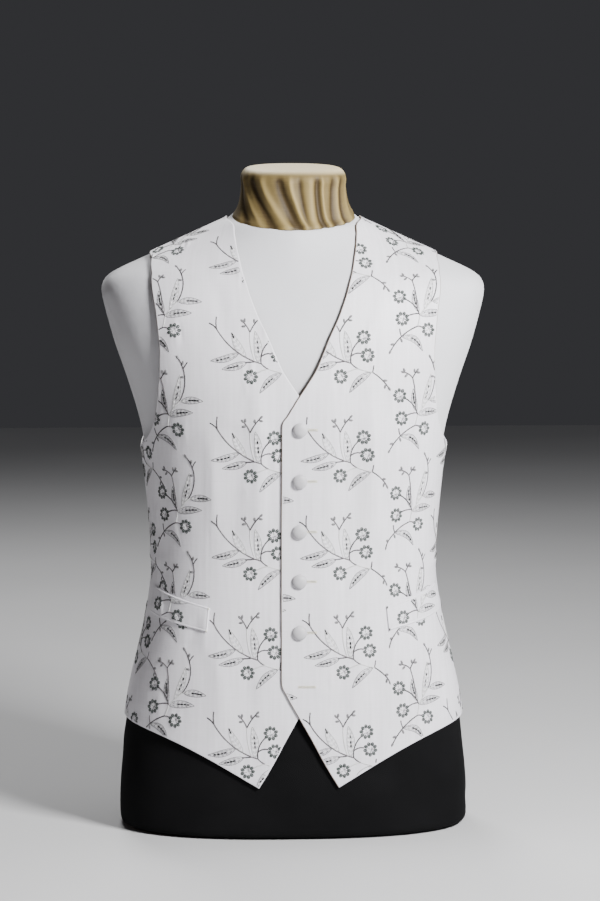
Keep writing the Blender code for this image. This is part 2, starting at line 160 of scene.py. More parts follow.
def quarter(z, depth):
    """Angles along a quarter of each section, and the share of its length up to each angle."""
    share = np.linspace(0, 1, QUARTER_SAMPLES)
    angle = 0.25 * math.pi * (1 - np.cos(math.pi * share))[None, :]
    power = (2 / section(z, "power"))[:, None]
    x = section(z, "half_width")[:, None] * np.sin(angle) ** power
    y = depth[:, None] * np.cos(angle).clip(0) ** power
    run = np.cumsum(np.hypot(np.diff(x), np.diff(y)), axis=1)
    run = np.hstack([np.zeros((len(run), 1)), run])
    return angle[0], run / run[:, -1:]


def form_points(z, turn):
    """Points of the form. A turn of 0 is the centre front, 1 the wearer's left side, 2 the centre back."""
    z, turn = np.broadcast_arrays(np.asarray(z, float), np.asarray(turn, float))
    shape, z, turn = z.shape, z.ravel(), turn.ravel()
    turn = (turn + 2) % 4 - 2
    side = np.where(turn < 0, -1.0, 1.0)
    from_front = np.abs(turn)
    behind = from_front > 1
    depth = np.where(behind, section(z, "back"), section(z, "front"))
    share = np.where(behind, 2 - from_front, from_front)
    angles, run = quarter(z, depth)
    angle = np.array([np.interp(at, lengths, angles) for at, lengths in zip(share, run)])
    power = 2 / section(z, "power")
    x = side * section(z, "half_width") * np.sin(angle) ** power
    y = np.where(behind, 1, -1) * depth * np.cos(angle).clip(0) ** power
    tilt = NECK_TILT * smooth_step(z, NECK_TILT_FROM, NECK_TILT_FULL)
    return np.stack([x, y, z + tilt * y], axis=1).reshape(shape + (3,))


def form_normals(z, turn):
    """Unit normals of the form, pointing out."""
    across = form_points(z, turn + TURN_STEP) - form_points(z, turn - TURN_STEP)
    up = form_points(z + SLOPE_STEP, turn) - form_points(z - SLOPE_STEP, turn)
    normal = np.cross(across, up)
    return normal / np.linalg.norm(normal, axis=-1, keepdims=True)


def turn_of(x, z, wall, behind):
    """The turn, from the centre front or the centre back, at which the cloth's outer face has this x."""
    ratio = np.clip(np.abs(x) / (section(z, "half_width") + ease(z) + wall), 0, 1)
    angle = np.arcsin(ratio ** (section(z, "power") / 2))
    angles, run = quarter(z, section(z, "back") if behind else section(z, "front"))
    share = np.array([np.interp(a, angles, lengths) for a, lengths in zip(angle, run)])
    return np.where(x < 0, -share, share)


def cloth_points(z, turn, offset):
    """Points of a layer of cloth at this offset from the form."""
    return form_points(z, turn) + form_normals(z, turn) * np.asarray(offset)[..., None]


def quarter_length(z, behind):
    """Length of a quarter of the form's section, near enough for a seam allowance."""
    depth = section(z, "back") if behind else section(z, "front")
    return np.hypot(section(z, "half_width"), depth)


def lap_lift(z, turn):
    """How far the over front stands off to clear the under front's edge."""
    x = turn * quarter_length(z, behind=False)
    across = 1 - smooth_step(x, LAP_FULL_X, LAP_GONE_X)
    below = smooth_step(z, LAP_GONE_Z[0], LAP_FULL_Z[0])
    above = 1 - smooth_step(z, LAP_FULL_Z[1], LAP_GONE_Z[1])
    return LAP_LIFT * across * below * above


def front_offset(z, turn, laps_over):
    """Offset of a front's inner face from the form."""
    return ease(z) + (lap_lift(z, turn) if laps_over else 0.0)


print("chest at z 0.52:", round(4 * float(quarter_length(0.52, False)), 3), "m by the short way")

# %% [markdown]
# ## The flat cloth
#
# Embroidered silk is woven and stitched flat, and only then cut and worn. So the sprays have to keep their
# true size on the curved chest. This chart turns a place on the body into a place on the flat cloth: u
# runs round the body from the centre line, and v runs up the cloth, equal to the height at the hips. It
# is used both ways. The shells take their UV map from it, and the stitches are drawn flat and sent back.

# %% Chart between the body and the flat cloth
GRAIN_Z = 0.2
FLAT_Z = np.linspace(0.04, 0.735, 348)
U_STEP = 0.004
FLAT_U = np.arange(66) * U_STEP
MOST_SHARE = 1.06


def flat_chart(behind):
    """Arc of a quarter at each height, and v at each height and each u."""
    share = np.linspace(0, 1, 65)[None, :]
    offset = ease(FLAT_Z)[:, None] + FRONT_WALL
    points = cloth_points(FLAT_Z[:, None], 2 - share if behind else share, offset)
    arc = np.linalg.norm(np.diff(points, axis=1), axis=2).sum(axis=1)
    share = np.clip(FLAT_U[None, :] / arc[:, None], 0, MOST_SHARE)
    points = cloth_points(FLAT_Z[:, None], 2 - share if behind else share, offset)
    rise = np.cumsum(np.linalg.norm(np.diff(points, axis=0), axis=2), axis=0)
    rise = np.vstack([np.zeros((1, len(FLAT_U))), rise])
    level = np.array([np.interp(GRAIN_Z, FLAT_Z, column) for column in rise.T])
    return {"arc": arc, "v": rise - level[None, :] + GRAIN_Z}


CHARTS = {False: flat_chart(False), True: flat_chart(True)}


def between_columns(u):
    """The chart's column below this u, and how far the place is towards the next."""
    at = np.clip(np.abs(u) / U_STEP, 0, len(FLAT_U) - 1.001)
    return at.astype(int), at - at.astype(int)


def to_flat(z, share, behind):
    """u and v on the flat cloth of a place on the body; share is the turn from the centre line."""
    chart = CHARTS[behind]
    u = share * np.interp(z, FLAT_Z, chart["arc"])
    column, part = between_columns(u)
    at = np.clip((z - FLAT_Z[0]) / (FLAT_Z[1] - FLAT_Z[0]), 0, len(FLAT_Z) - 1.001)
    row, over = at.astype(int), at - at.astype(int)
    v = chart["v"]
    low = v[row, column] * (1 - part) + v[row, column + 1] * part
    high = v[row + 1, column] * (1 - part) + v[row + 1, column + 1] * part
    return u, low * (1 - over) + high * over


def from_flat(u, v, behind):
    """The height and the signed share of a place on the flat cloth."""
    chart = CHARTS[behind]
    column, part = between_columns(u)
    z = np.empty(len(u))
    for k, (c, p, at) in enumerate(zip(column, part, v)):
        z[k] = np.interp(at, chart["v"][:, c] * (1 - p) + chart["v"][:, c + 1] * p, FLAT_Z)
    return z, u / np.interp(z, FLAT_Z, chart["arc"])


print("front quarter arc at the chest:", round(float(np.interp(0.52, FLAT_Z, CHARTS[False]["arc"])), 4))

# %% [markdown]
# ## Node helpers and the finishes that several cloths share
#
# Every finish here is procedural. A small helper adds a node, sets its values and links its inputs, so a
# material reads like a recipe. Two effects are used by many cloths, so each is a node group built once:
# the weave with its thicker threads, which gives a height and a tone, and the slow change of tone that
# any worn cloth has. The shader itself stays in each material, with its plain values set on its sockets.


# %% Helpers for node trees
class Signal:
    """An output of a node. Reckoning with it, as with a number, adds Math nodes."""

    def __init__(self, socket):
        self.socket = socket

    def maths(self, operation, *others):
        return signal(self.socket.id_data, "ShaderNodeMath", dict(enumerate((self, *others))), operation=operation)

    def __add__(self, other):
        return self.maths("ADD", other)

    def __sub__(self, other):
        return self.maths("SUBTRACT", other)

    def __mul__(self, other):
        return self.maths("MULTIPLY", other)

    def __truediv__(self, other):
        return self.maths("DIVIDE", other)

    def __abs__(self):
        return self.maths("ABSOLUTE")

    def wave(self, length):
        """A sine wave of this length."""
        return (self * (2 * math.pi / length)).maths("SINE")


def set_input(node, key, value):
    """Links an input to a signal, or sets its plain value."""
    if isinstance(value, Signal):
        node.id_data.links.new(value.socket, node.inputs[key])
    else:
        node.inputs[key].default_value = value


def add(tree, kind, inputs=(), **settings):
    """Adds a node. Each input is a plain value, or a signal to link."""
    made = tree.nodes.new(kind)
    for key, value in settings.items():
        setattr(made, key, value)
    for key, value in dict(inputs).items():
        set_input(made, key, value)
    return made


def signal(tree, kind, inputs=(), out=0, **settings):
    """Adds a node and gives one of its outputs."""
    return Signal(add(tree, kind, inputs, **settings).outputs[out])


def noise(tree, where, scale, detail):
    """Soft noise from 0 to 1."""
    return signal(tree, "ShaderNodeTexNoise", {"Vector": where, "Scale": scale, "Detail": detail})


def x_and_y(tree, vector):
    """The first two parts of a vector."""
    parts = add(tree, "ShaderNodeSeparateXYZ", {0: vector}).outputs
    return Signal(parts[0]), Signal(parts[1])


def new_group(name, kind, inputs, outputs):
    """A node group with named inputs and outputs: its tree, its inputs as signals, and its end node."""
    tree = bpy.data.node_groups.new(name, kind)
    for label, (socket, value) in inputs.items():
        made = tree.interface.new_socket(label, in_out="INPUT", socket_type="NodeSocket" + socket)
        if value is not None:
            made.default_value = value
    for label, socket in outputs.items():
        tree.interface.new_socket(label, in_out="OUTPUT", socket_type="NodeSocket" + socket)
    given = tree.nodes.new("NodeGroupInput").outputs
    return tree, {label: Signal(given[label]) for label in inputs}, tree.nodes.new("NodeGroupOutput")


def woven_group():
    """Plain weave with uneven thicker threads: a height and a tone, both from 0 to 1."""
    inputs = {
        "Vector": ("Vector", None),
        "Threads per metre": ("Float", 1800.0),
        "Slub length": ("Float", 0.03),
        "Slub amount": ("Float", 0.5),
    }
    tree, given, out = new_group("woven_threads", "ShaderNodeTree", inputs, {"Height": "Float", "Tone": "Float"})
    x, y = x_and_y(tree, given["Vector"])
    count = given["Threads per metre"] * math.pi
    weave = abs((x * count).maths("SINE")) * abs((y * count).maths("SINE"))
    along = x / given["Slub length"]
    slub_at = signal(tree, "ShaderNodeCombineXYZ", {0: along, 1: y * SLUBS_ACROSS})
    slub = noise(tree, slub_at, 1.0, 2.0)
    fine = noise(tree, signal(tree, "ShaderNodeCombineXYZ", {0: x * FINE_ALONG, 1: along * 0.4}), 1.0, 1.0)
    set_input(out, "Height", weave * 0.35 + slub * given["Slub amount"])
    set_input(out, "Tone", fine * 0.3 + slub * 0.7)
    return tree


def soft_change_group():
    """A slow, uneven change of tone over a cloth, from 0 to 1."""
    inputs = {"Vector": ("Vector", None), "Size": ("Float", 0.08)}
    tree, given, out = new_group("soft_change", "ShaderNodeTree", inputs, {"Tone": "Float"})
    scale = signal(tree, "ShaderNodeMath", {0: 1.0, 1: given["Size"]}, operation="DIVIDE")
    wide = noise(tree, given["Vector"], scale, 4.0)
    set_input(out, "Tone", signal(tree, "ShaderNodeMapRange", {0: wide, 1: 0.3, 2: 0.7}, clamp=True))
    return tree


SLUBS_ACROSS, FINE_ALONG = 900.0, 700.0
WOVEN, SOFT_CHANGE = woven_group(), soft_change_group()
print("shared finishes:", WOVEN.name, SOFT_CHANGE.name)

# %% Helpers for materials
def new_finish(name, roughness, sheen=0.0, **plain):
    """A material with its shader, whose plain values are set on its own sockets."""
    made = bpy.data.materials.new(name)
    made.use_nodes = True
    shader = made.node_tree.nodes["Principled BSDF"]
    for key, value in {"Roughness": roughness, "Sheen Weight": sheen, **plain}.items():
        shader.inputs[key.replace("_", " ")].default_value = value
    return made, made.node_tree, shader


def blend_colours(tree, share, low, high):
    """A colour between two, each a plain colour or a signal."""
    low, high = (colour if isinstance(colour, Signal) else (*colour, 1.0) for colour in (low, high))
    return signal(tree, "ShaderNodeMix", {0: share, 6: low, 7: high}, out=2, data_type="RGBA")


def use_group(tree, group, inputs):
    """Places a shared group with its own values and gives its outputs by name."""
    made = add(tree, "ShaderNodeGroup", node_tree=group)
    for key, value in inputs.items():
        set_input(made, key, value)
    return {output.name: Signal(output) for output in made.outputs}


def woven(tree, place, threads, slub_length, slub_amount):
    """The weave's height and tone at a place."""
    inputs = {"Vector": place, "Threads per metre": threads, "Slub length": slub_length, "Slub amount": slub_amount}
    return use_group(tree, WOVEN, inputs)


def soft_change(tree, place, size):
    """The slow change of tone at a place."""
    return use_group(tree, SOFT_CHANGE, {"Vector": place, "Size": size})["Tone"]


def kept_value(tree, name):
    """A number kept on the mesh."""
    return signal(tree, "ShaderNodeAttribute", out="Fac", attribute_name=name)


def flat_place(tree):
    """The place on the flat cloth."""
    return signal(tree, "ShaderNodeUVMap", uv_map="flat")


def object_place(tree):
    """The place in metres, in Object coordinates."""
    return signal(tree, "ShaderNodeTexCoord", out="Object")


def dress(shader, colour, height, depth):
    """Gives a shader its colour, and raises its surface by a height whose full depth is in metres."""
    set_input(shader, "Base Color", colour)
    raised = {"Height": height, "Distance": depth, "Strength": 1.0}
    set_input(shader, "Normal", signal(shader.id_data, "ShaderNodeBump", raised))

# %% [markdown]
# ## The silk, its lining and the back's satin
#
# The fronts are ivory silk with a fine slub, which reads as faint level threads. They are lined in taupe,
# and a thin taupe line is painted on the rim of the outer face along the lapped edge, the neck and the
# armhole: partly the lining's edge, partly painted shadow at the edge. A long dart shapes each front from
# below the chest to the pocket: it is a shallow groove drawn on the flat cloth, the same distance from the
# centre on both sides. The back is plain white satin, closer and glossier, so it has hardly any slub and a
# lower roughness.

# %% Silk, lining and satin
IVORY, IVORY_DEEP = (0.83, 0.815, 0.865), (0.56, 0.54, 0.565)
# The buttons' silk is the fronts' silk painted darker: painted shade
BUTTON_IVORY_SHADED, BUTTON_DEEP_SHADED = (0.56, 0.55, 0.575), (0.37, 0.36, 0.375)
TAUPE, TAUPE_DEEP = (0.16, 0.098, 0.05), (0.095, 0.058, 0.03)
SATIN, SATIN_DEEP = (0.83, 0.82, 0.815), (0.74, 0.73, 0.725)
DART_TOP_U, DART_TOP_V, DART_LOW_U, DART_LOW_V = 0.104, 0.43, 0.106, 0.268
DART_WIDTH, DART_DEPTH = 0.0038, 0.8
STREAK_WIDE, STREAK_LONG = 0.0045, 0.07


def dart_groove(tree, place):
    """1 in the dart's seam, 0 away from it."""
    u, v = x_and_y(tree, place)
    along = signal(tree, "ShaderNodeMapRange", {0: v, 1: DART_LOW_V, 2: DART_TOP_V, 3: 0.0, 4: 1.0})
    away = abs(abs(u) - (along * (DART_TOP_U - DART_LOW_U) + DART_LOW_U))
    fade = {0: away, 1: 0.0, 2: DART_WIDTH, 3: 1.0, 4: 0.0}
    near = signal(tree, "ShaderNodeMapRange", fade, interpolation_type="SMOOTHSTEP")
    return near * (v.maths("GREATER_THAN", DART_LOW_V) * v.maths("LESS_THAN", DART_TOP_V))


def make_silk():
    """Ivory silk with a fine slub, a dart's groove and a painted taupe rim line: the lining's edge and painted
    shadow.
    """
    made, tree, shader = new_finish("ivory_silk", 0.46, 0.08, Sheen_Roughness=0.4, Specular_IOR_Level=0.45)
    place = flat_place(tree)
    weave, slow = woven(tree, place, 1700.0, 0.035, 0.6), soft_change(tree, place, 0.11)
    where = signal(tree, "ShaderNodeMapping", {"Vector": place, "Scale": (1 / STREAK_WIDE, 1 / STREAK_LONG, 1.0)})
    tone = weave["Tone"] * 0.5 + (noise(tree, where, 1.0, 2.0) * 0.6 + slow * 0.25)
    cloth = blend_colours(tree, tone, IVORY_DEEP, IVORY)
    # The rim line's taupe is laid on the outer face: partly the lining's edge, partly painted shadow
    lining_and_shadow_colour = blend_colours(tree, slow, TAUPE_DEEP, TAUPE)
    colour = blend_colours(tree, kept_value(tree, "lining_and_shadow_line"), cloth, lining_and_shadow_colour)
    dress(shader, colour, weave["Height"] - dart_groove(tree, place) * DART_DEPTH, 0.00011)
    return made


def make_plain_weave(name, deep, light, roughness, threads, slub, depth, **plain):
    """A plain woven cloth that reads the flat place."""
    made, tree, shader = new_finish(name, roughness, **plain)
    place = flat_place(tree)
    weave = woven(tree, place, threads, 0.05, slub)
    tone = soft_change(tree, place, 0.12) * 0.6 + weave["Tone"] * 0.4
    dress(shader, blend_colours(tree, tone, deep, light), weave["Height"], depth)
    return made


SILK = make_silk()
LINING = make_plain_weave("taupe_lining", TAUPE_DEEP, TAUPE, 0.45, 2400.0, 0.15, 0.00005, sheen=0.1)
BACK_CLOTH = make_plain_weave(
    "white_satin", SATIN_DEEP, SATIN, 0.4, 3000.0, 0.12, 0.00004, sheen=0.2, Anisotropic=0.2
)
print("cloths:", SILK.name, LINING.name, BACK_CLOTH.name)

# %% [markdown]
# ## The panels as they are cut
#
# A panel is a grid. Each row of its table runs from a point of its inner edge to a point of its side edge,
# from the hem up to the shoulder. The solids join these rows with straight lines; here a smooth curve that
# never overshoots joins them, so the neck and armhole are true curves. Extra lines close to every edge
# let the two faces meet in a rounded turned edge instead of a square cut.

# %% Tables of the panels
CREST = 1.0
PANEL_COLUMNS = ("edge_x", "edge_z", "side_turn", "side_z", "hem_swell", "bands")
FRONT_ROWS = (
    (0.0463, 0.0615, 0.955, 0.13, 0.018, 1),
    (0.037, 0.0765, 0.955, 0.142, 0.015, 1),
    (0.028, 0.092, 0.955, 0.155, 0.012, 2),
    (0.014, 0.118, 0.956, 0.176, 0.0075, 1),
    (0.0, 0.1425, 0.957, 0.196, 0.004, 1),
    (-0.014, 0.167, 0.958, 0.217, 0.0015, 1),
    (-0.0205, 0.182, 0.959, 0.23, 0.0005, 2),
    (-0.0205, 0.2187, 0.96, 0.261, 0.0, 2),
    (-0.0205, 0.2418, 0.961, 0.293, 0.0, 3),
    (-0.0205, 0.298, 0.965, 0.335, 0.0, 2),
    (-0.0205, 0.35, 0.972, 0.368, 0.0, 2),
    (-0.0205, 0.405, 0.985, 0.402, 0.0, 2),
    (-0.0205, 0.448, 0.995, 0.43, 0.0, 1),
    (-0.0205, 0.478, 0.999, 0.444, 0.0, 1),
    (-0.013, 0.491, 0.93, 0.447, 0.0, 1),
    (-0.003, 0.507, 0.84, 0.453, 0.0, 1),
    (0.009, 0.5245, 0.765, 0.461, 0.0, 1),
    (0.0185, 0.539, 0.715, 0.472, 0.0, 1),
    (0.0262, 0.5555, 0.678, 0.485, 0.0, 1),
    (0.034, 0.574, 0.642, 0.507, 0.0, 2),
    (0.046, 0.599, 0.602, 0.541, 0.0, 1),
    (0.053, 0.617, 0.588, 0.565, 0.0, 2),
    (0.06, 0.639, 0.596, 0.598, 0.0, 2),
    (0.065, 0.659, 0.618, 0.624, 0.0, 2),
    (0.0685, 0.676, 0.662, 0.642, 0.0, 2),
    (0.0705, 0.69, 0.76, 0.6545, 0.0, 2),
    (0.072, 0.701, 0.86, 0.6625, 0.0, 3),
    (CREST, 0.7095, 1.0, 0.6685, 0.0, 0),
)
BACK_ROWS = (
    (0.0, 0.118, 1.045, 0.13, -0.004, 2),
    (0.0, 0.16, 1.044, 0.176, -0.002, 2),
    (0.0, 0.21, 1.041, 0.23, 0.0, 2),
    (0.0, 0.26, 1.039, 0.2775, 0.0, 2),
    (0.0, 0.315, 1.035, 0.324, 0.0, 2),
    (0.0, 0.37, 1.026, 0.37, 0.0, 2),
    (0.0, 0.425, 1.012, 0.411, 0.0, 1),
    (0.0, 0.455, 1.001, 0.444, 0.0, 1),
    (0.0, 0.477, 0.93, 0.447, 0.0, 1),
    (0.0, 0.498, 0.85, 0.454, 0.0, 1),
    (0.0, 0.52, 0.78, 0.465, 0.0, 1),
    (0.0, 0.542, 0.73, 0.481, 0.0, 1),
    (0.0, 0.565, 0.695, 0.502, 0.0, 2),
    (0.0, 0.6, 0.66, 0.54, 0.0, 2),
    (0.0, 0.633, 0.636, 0.58, 0.0, 2),
    (0.0, 0.66, 0.626, 0.614, 0.0, 2),
    (0.0, 0.678, 0.65, 0.636, 0.0, 2),
    (0.0, 0.69, 0.73, 0.651, 0.0, 2),
    (0.03, 0.6935, 0.83, 0.6595, 0.0, 1),
    (0.048, 0.6975, 0.89, 0.6635, 0.0, 1),
    (0.062, 0.7025, 0.94, 0.666, 0.0, 1),
    (0.07, 0.7062, 0.97, 0.6675, 0.0, 2),
    (CREST, 0.7095, 1.0, 0.6685, 0.0, 0),
)
print("front rows:", len(FRONT_ROWS), "back rows:", len(BACK_ROWS))

# %% Grid of a panel
RIM_STEPS = np.array([0.0, 0.00015, 0.0004, 0.0008, 0.0013])
COARSE_COLUMNS = 33


def smooth_curve(known_at, known, at):
    """A smooth curve through the known values that never overshoots them."""
    step = np.diff(known_at)
    slope = np.diff(known) / step
    near, far = 2 * step[1:] + step[:-1], step[1:] + 2 * step[:-1]
    same_way = slope[:-1] * slope[1:] > 0
    safe_a, safe_b = np.where(same_way, slope[:-1], 1.0), np.where(same_way, slope[1:], 1.0)
    inner = np.where(same_way, (near + far) / (near / safe_a + far / safe_b), 0.0)
    lean = np.concatenate([slope[:1], inner, slope[-1:]])
    k = np.clip(np.searchsorted(known_at, at, side="right") - 1, 0, len(step) - 1)
    t = (at - known_at[k]) / step[k]
    rise = known[k + 1] - known[k]
    return (
        known[k]
        + rise * t * t * (3 - 2 * t)
        + step[k] * (lean[k] * t * (1 - t) ** 2 - lean[k + 1] * t * t * (1 - t))
    )


def panel_stations(rows):
    """The station of each row of a panel's table."""
    bands = [row[-1] for row in rows]
    return np.concatenate([[0], np.cumsum(bands[:-1])]).astype(float)


def panel_places(rows, at, share, wall, behind):
    """Heights and turns from the centre line of a panel, at stations (a column) and shares across."""
    table = {name: np.array([row[i] for row in rows]) for i, name in enumerate(PANEL_COLUMNS)}
    crest = table["edge_x"] == CREST
    edge_turn = turn_of(np.where(crest, 0.0, table["edge_x"]), table["edge_z"], wall, behind)
    table["edge_turn"] = np.where(crest, 1.0, edge_turn)
    known_at = panel_stations(rows)
    fine = {name: smooth_curve(known_at, known, at)[:, None] for name, known in table.items()}
    side = fine["side_turn"] - 0.5 * SEAM_GAP / quarter_length(fine["side_z"], behind)
    edge = np.where(at[:, None] >= known_at[-1], side, fine["edge_turn"])
    z = fine["edge_z"] * (1 - share) + fine["side_z"] * share + fine["hem_swell"] * np.sin(math.pi * share)
    return z, edge * (1 - share) + side * share


def spread(length, count, rim):
    """Places from 0 to 1 along a length, close together in the rim at both ends."""
    low, high = rim / length, 1 - rim[::-1] / length
    return np.concatenate([low, np.linspace(low[-1], high[0], count)[1:-1], high])


def panel_grid(rows, wall, behind, per_band, across):
    """A panel's fine grid: heights, shares of a quarter from the centre line, and distances to its edges."""
    last = panel_stations(rows)[-1]
    coarse_at = np.arange(int(last) + 1.0)
    z, turn = panel_places(rows, coarse_at, np.linspace(0, 1, COARSE_COLUMNS)[None, :], wall, behind)
    points = cloth_points(z, 2 - turn if behind else turn, ease(z) + wall)
    widths = np.linalg.norm(np.diff(points, axis=1), axis=2).sum(axis=1)
    steps = np.linalg.norm(np.diff(points, axis=0), axis=2).mean(axis=1)
    middle = np.linspace(RIM_STEPS[-1] / steps[0], last - RIM_STEPS[-1] / steps[-1], int(last * per_band))
    at = np.concatenate([RIM_STEPS[:-1] / steps[0], middle, last - RIM_STEPS[-2::-1] / steps[-1]])
    share = np.array([spread(width, across, RIM_STEPS) for width in np.interp(at, coarse_at, widths)])
    z, turn = panel_places(rows, at, share, wall, behind)
    if behind:
        turn = np.maximum(turn, 0.5 * SEAM_GAP / quarter_length(z, behind))
    return z, turn, edge_distances(z, 2 - turn if behind else turn, ease(z) + wall)


def edge_distances(z, turn, offset):
    """Distance of each grid point to the hem, the top, the inner edge and the side edge."""
    points = cloth_points(z, turn, offset)
    up = np.cumsum(np.linalg.norm(np.diff(points, axis=0), axis=2), axis=0)
    up = np.vstack([np.zeros((1, points.shape[1])), up])
    over = np.cumsum(np.linalg.norm(np.diff(points, axis=1), axis=2), axis=1)
    over = np.hstack([np.zeros((len(points), 1)), over])
    return {"hem": up, "top": up[-1:] - up, "inner": over, "side": over[:, -1:] - over}


FRONT_GRID = panel_grid(FRONT_ROWS, FRONT_WALL, False, per_band=5, across=82)
BACK_GRID = panel_grid(BACK_ROWS, BACK_WALL, True, per_band=4, across=56)
print("front grid:", FRONT_GRID[0].shape, "back grid:", BACK_GRID[0].shape)

# %% [markdown]
# ## Creases and puckers
#
# A fitted silk front hangs almost smooth. What breaks it is small and has causes: soft drags at the waist
# where the body bends in, a pull from the top button, and short upright puckers where dense stitches draw
# the cloth in. Each crease is given on the flat cloth as a line with its own width and height,
# and the puckers get a fixed seed and gather round the flowers. Both are added to the cloth's offset.

# %% Creases listed one by one, as (u, v) to (u, v), width, height, bow
FRONT_CREASES = {
    1: (
        (0.235, 0.318, 0.165, 0.306, 0.0075, 0.0013, 0.003),
        (0.232, 0.286, 0.18, 0.281, 0.0065, -0.001, 0.002),
        (0.236, 0.262, 0.15, 0.268, 0.009, 0.001, -0.003),
        (0.228, 0.352, 0.172, 0.343, 0.008, -0.0009, 0.004),
        (0.02, 0.47, 0.085, 0.5, 0.0085, 0.0007, -0.003),
        (0.015, 0.415, 0.07, 0.404, 0.008, -0.0006, 0.002),
        (0.108, 0.262, 0.112, 0.205, 0.006, 0.0009, 0.001),
        (0.121, 0.255, 0.128, 0.212, 0.0055, -0.0007, 0.001),
        (0.02, 0.178, 0.048, 0.165, 0.006, 0.0007, 0.002),
        (0.15, 0.56, 0.128, 0.62, 0.009, 0.0009, 0.004),
        (0.058, 0.3, 0.064, 0.5, 0.011, -0.0012, 0.002),
        (0.092, 0.33, 0.086, 0.52, 0.01, 0.0019, -0.003),
        (0.118, 0.3, 0.124, 0.43, 0.009, -0.0012, 0.002),
        (0.06, 0.11, 0.07, 0.24, 0.011, 0.0016, 0.003),
        (0.095, 0.13, 0.1, 0.23, 0.009, -0.0011, -0.002),
        (0.08, 0.56, 0.1, 0.65, 0.01, 0.0008, 0.003),
    ),
    -1: (
        (-0.236, 0.322, -0.158, 0.312, 0.008, 0.0013, -0.003),
        (-0.232, 0.292, -0.176, 0.29, 0.006, -0.0011, 0.002),
        (-0.235, 0.268, -0.162, 0.262, 0.0085, 0.0011, 0.003),
        (-0.226, 0.358, -0.18, 0.349, 0.007, -0.0008, -0.003),
        (-0.026, 0.462, -0.09, 0.488, 0.009, 0.0008, 0.003),
        (-0.026, 0.352, -0.075, 0.338, 0.008, -0.0006, 0.002),
        (-0.107, 0.264, -0.11, 0.21, 0.006, 0.0009, 0.001),
        (-0.119, 0.258, -0.131, 0.214, 0.006, -0.0007, -0.001),
        (-0.152, 0.555, -0.126, 0.628, 0.0095, 0.001, -0.004),
        (-0.186, 0.356, -0.18, 0.292, 0.0048, 0.001, 0.001),
        (-0.197, 0.35, -0.193, 0.284, 0.0044, -0.001, 0.001),
        (-0.207, 0.345, -0.205, 0.296, 0.0044, 0.0009, 0.001),
        (-0.046, 0.33, -0.05, 0.54, 0.0105, 0.0019, 0.002),
        (-0.074, 0.31, -0.07, 0.49, 0.0105, -0.0012, -0.002),
        (-0.1, 0.35, -0.104, 0.47, 0.0085, 0.0014, 0.002),
        (-0.06, 0.11, -0.068, 0.25, 0.011, -0.0012, 0.003),
        (-0.092, 0.13, -0.098, 0.23, 0.0095, 0.0015, 0.002),
        (-0.082, 0.56, -0.098, 0.65, 0.01, -0.0008, 0.003),
    ),
}
BACK_CREASES = (
    (0.012, 0.338, 0.12, 0.318, 0.008, 0.0032, 0.004),
    (0.016, 0.314, 0.15, 0.3, 0.007, -0.0022, -0.003),
    (0.01, 0.29, 0.105, 0.284, 0.008, 0.003, 0.003),
    (0.04, 0.262, 0.175, 0.272, 0.0075, -0.002, 0.002),
    (0.015, 0.375, 0.085, 0.356, 0.0075, 0.0022, -0.002),
    (0.2, 0.325, 0.135, 0.35, 0.008, 0.0028, 0.003),
    (0.198, 0.295, 0.15, 0.318, 0.0065, -0.002, 0.002),
    (0.15, 0.54, 0.112, 0.63, 0.0095, 0.0026, 0.004),
    (0.135, 0.53, 0.08, 0.6, 0.0085, -0.0017, 0.003),
    (0.045, 0.27, 0.058, 0.17, 0.011, 0.002, -0.002),
    (0.105, 0.255, 0.122, 0.165, 0.01, 0.0019, 0.002),
)
FLATTEST_NEAR_SEAM = 0.014


def crease_height(u, v, creases):
    """The sum of the creases at places of the flat cloth."""
    total = np.zeros(np.shape(u))
    for u0, v0, u1, v1, width, height, bow in creases:
        length = math.hypot(u1 - u0, v1 - v0)
        along = ((u - u0) * (u1 - u0) + (v - v0) * (v1 - v0)) / length**2
        away = ((u - u0) * (v1 - v0) - (v - v0) * (u1 - u0)) / length
        away = away - bow * np.sin(math.pi * np.clip(along, 0, 1))
        taper = np.exp(-(((along - 0.5) / 0.46) ** 4))
        total += height * taper * np.exp(-((away / width) ** 2))
    return total


print("creases:", {side: len(found) for side, found in FRONT_CREASES.items()}, "back:", len(BACK_CREASES))

# %% [markdown]
# ## The sprays, drawn flat
#
# The embroidery is a floral spray worked in four threads: sage petals, grey stems, silver leaves and
# charcoal dashes. Two sprays alternate, half a repeat apart, on a straight grid. Each is grown like a plant
# from one place, a stem at a time: where it starts on an earlier stem, the heading it sets out at, its length
# and how far it turns on the way. Stems carry a flower or buds at their ends. Both fronts are cut from the
# same cloth, so the sprays lean the same way on both.

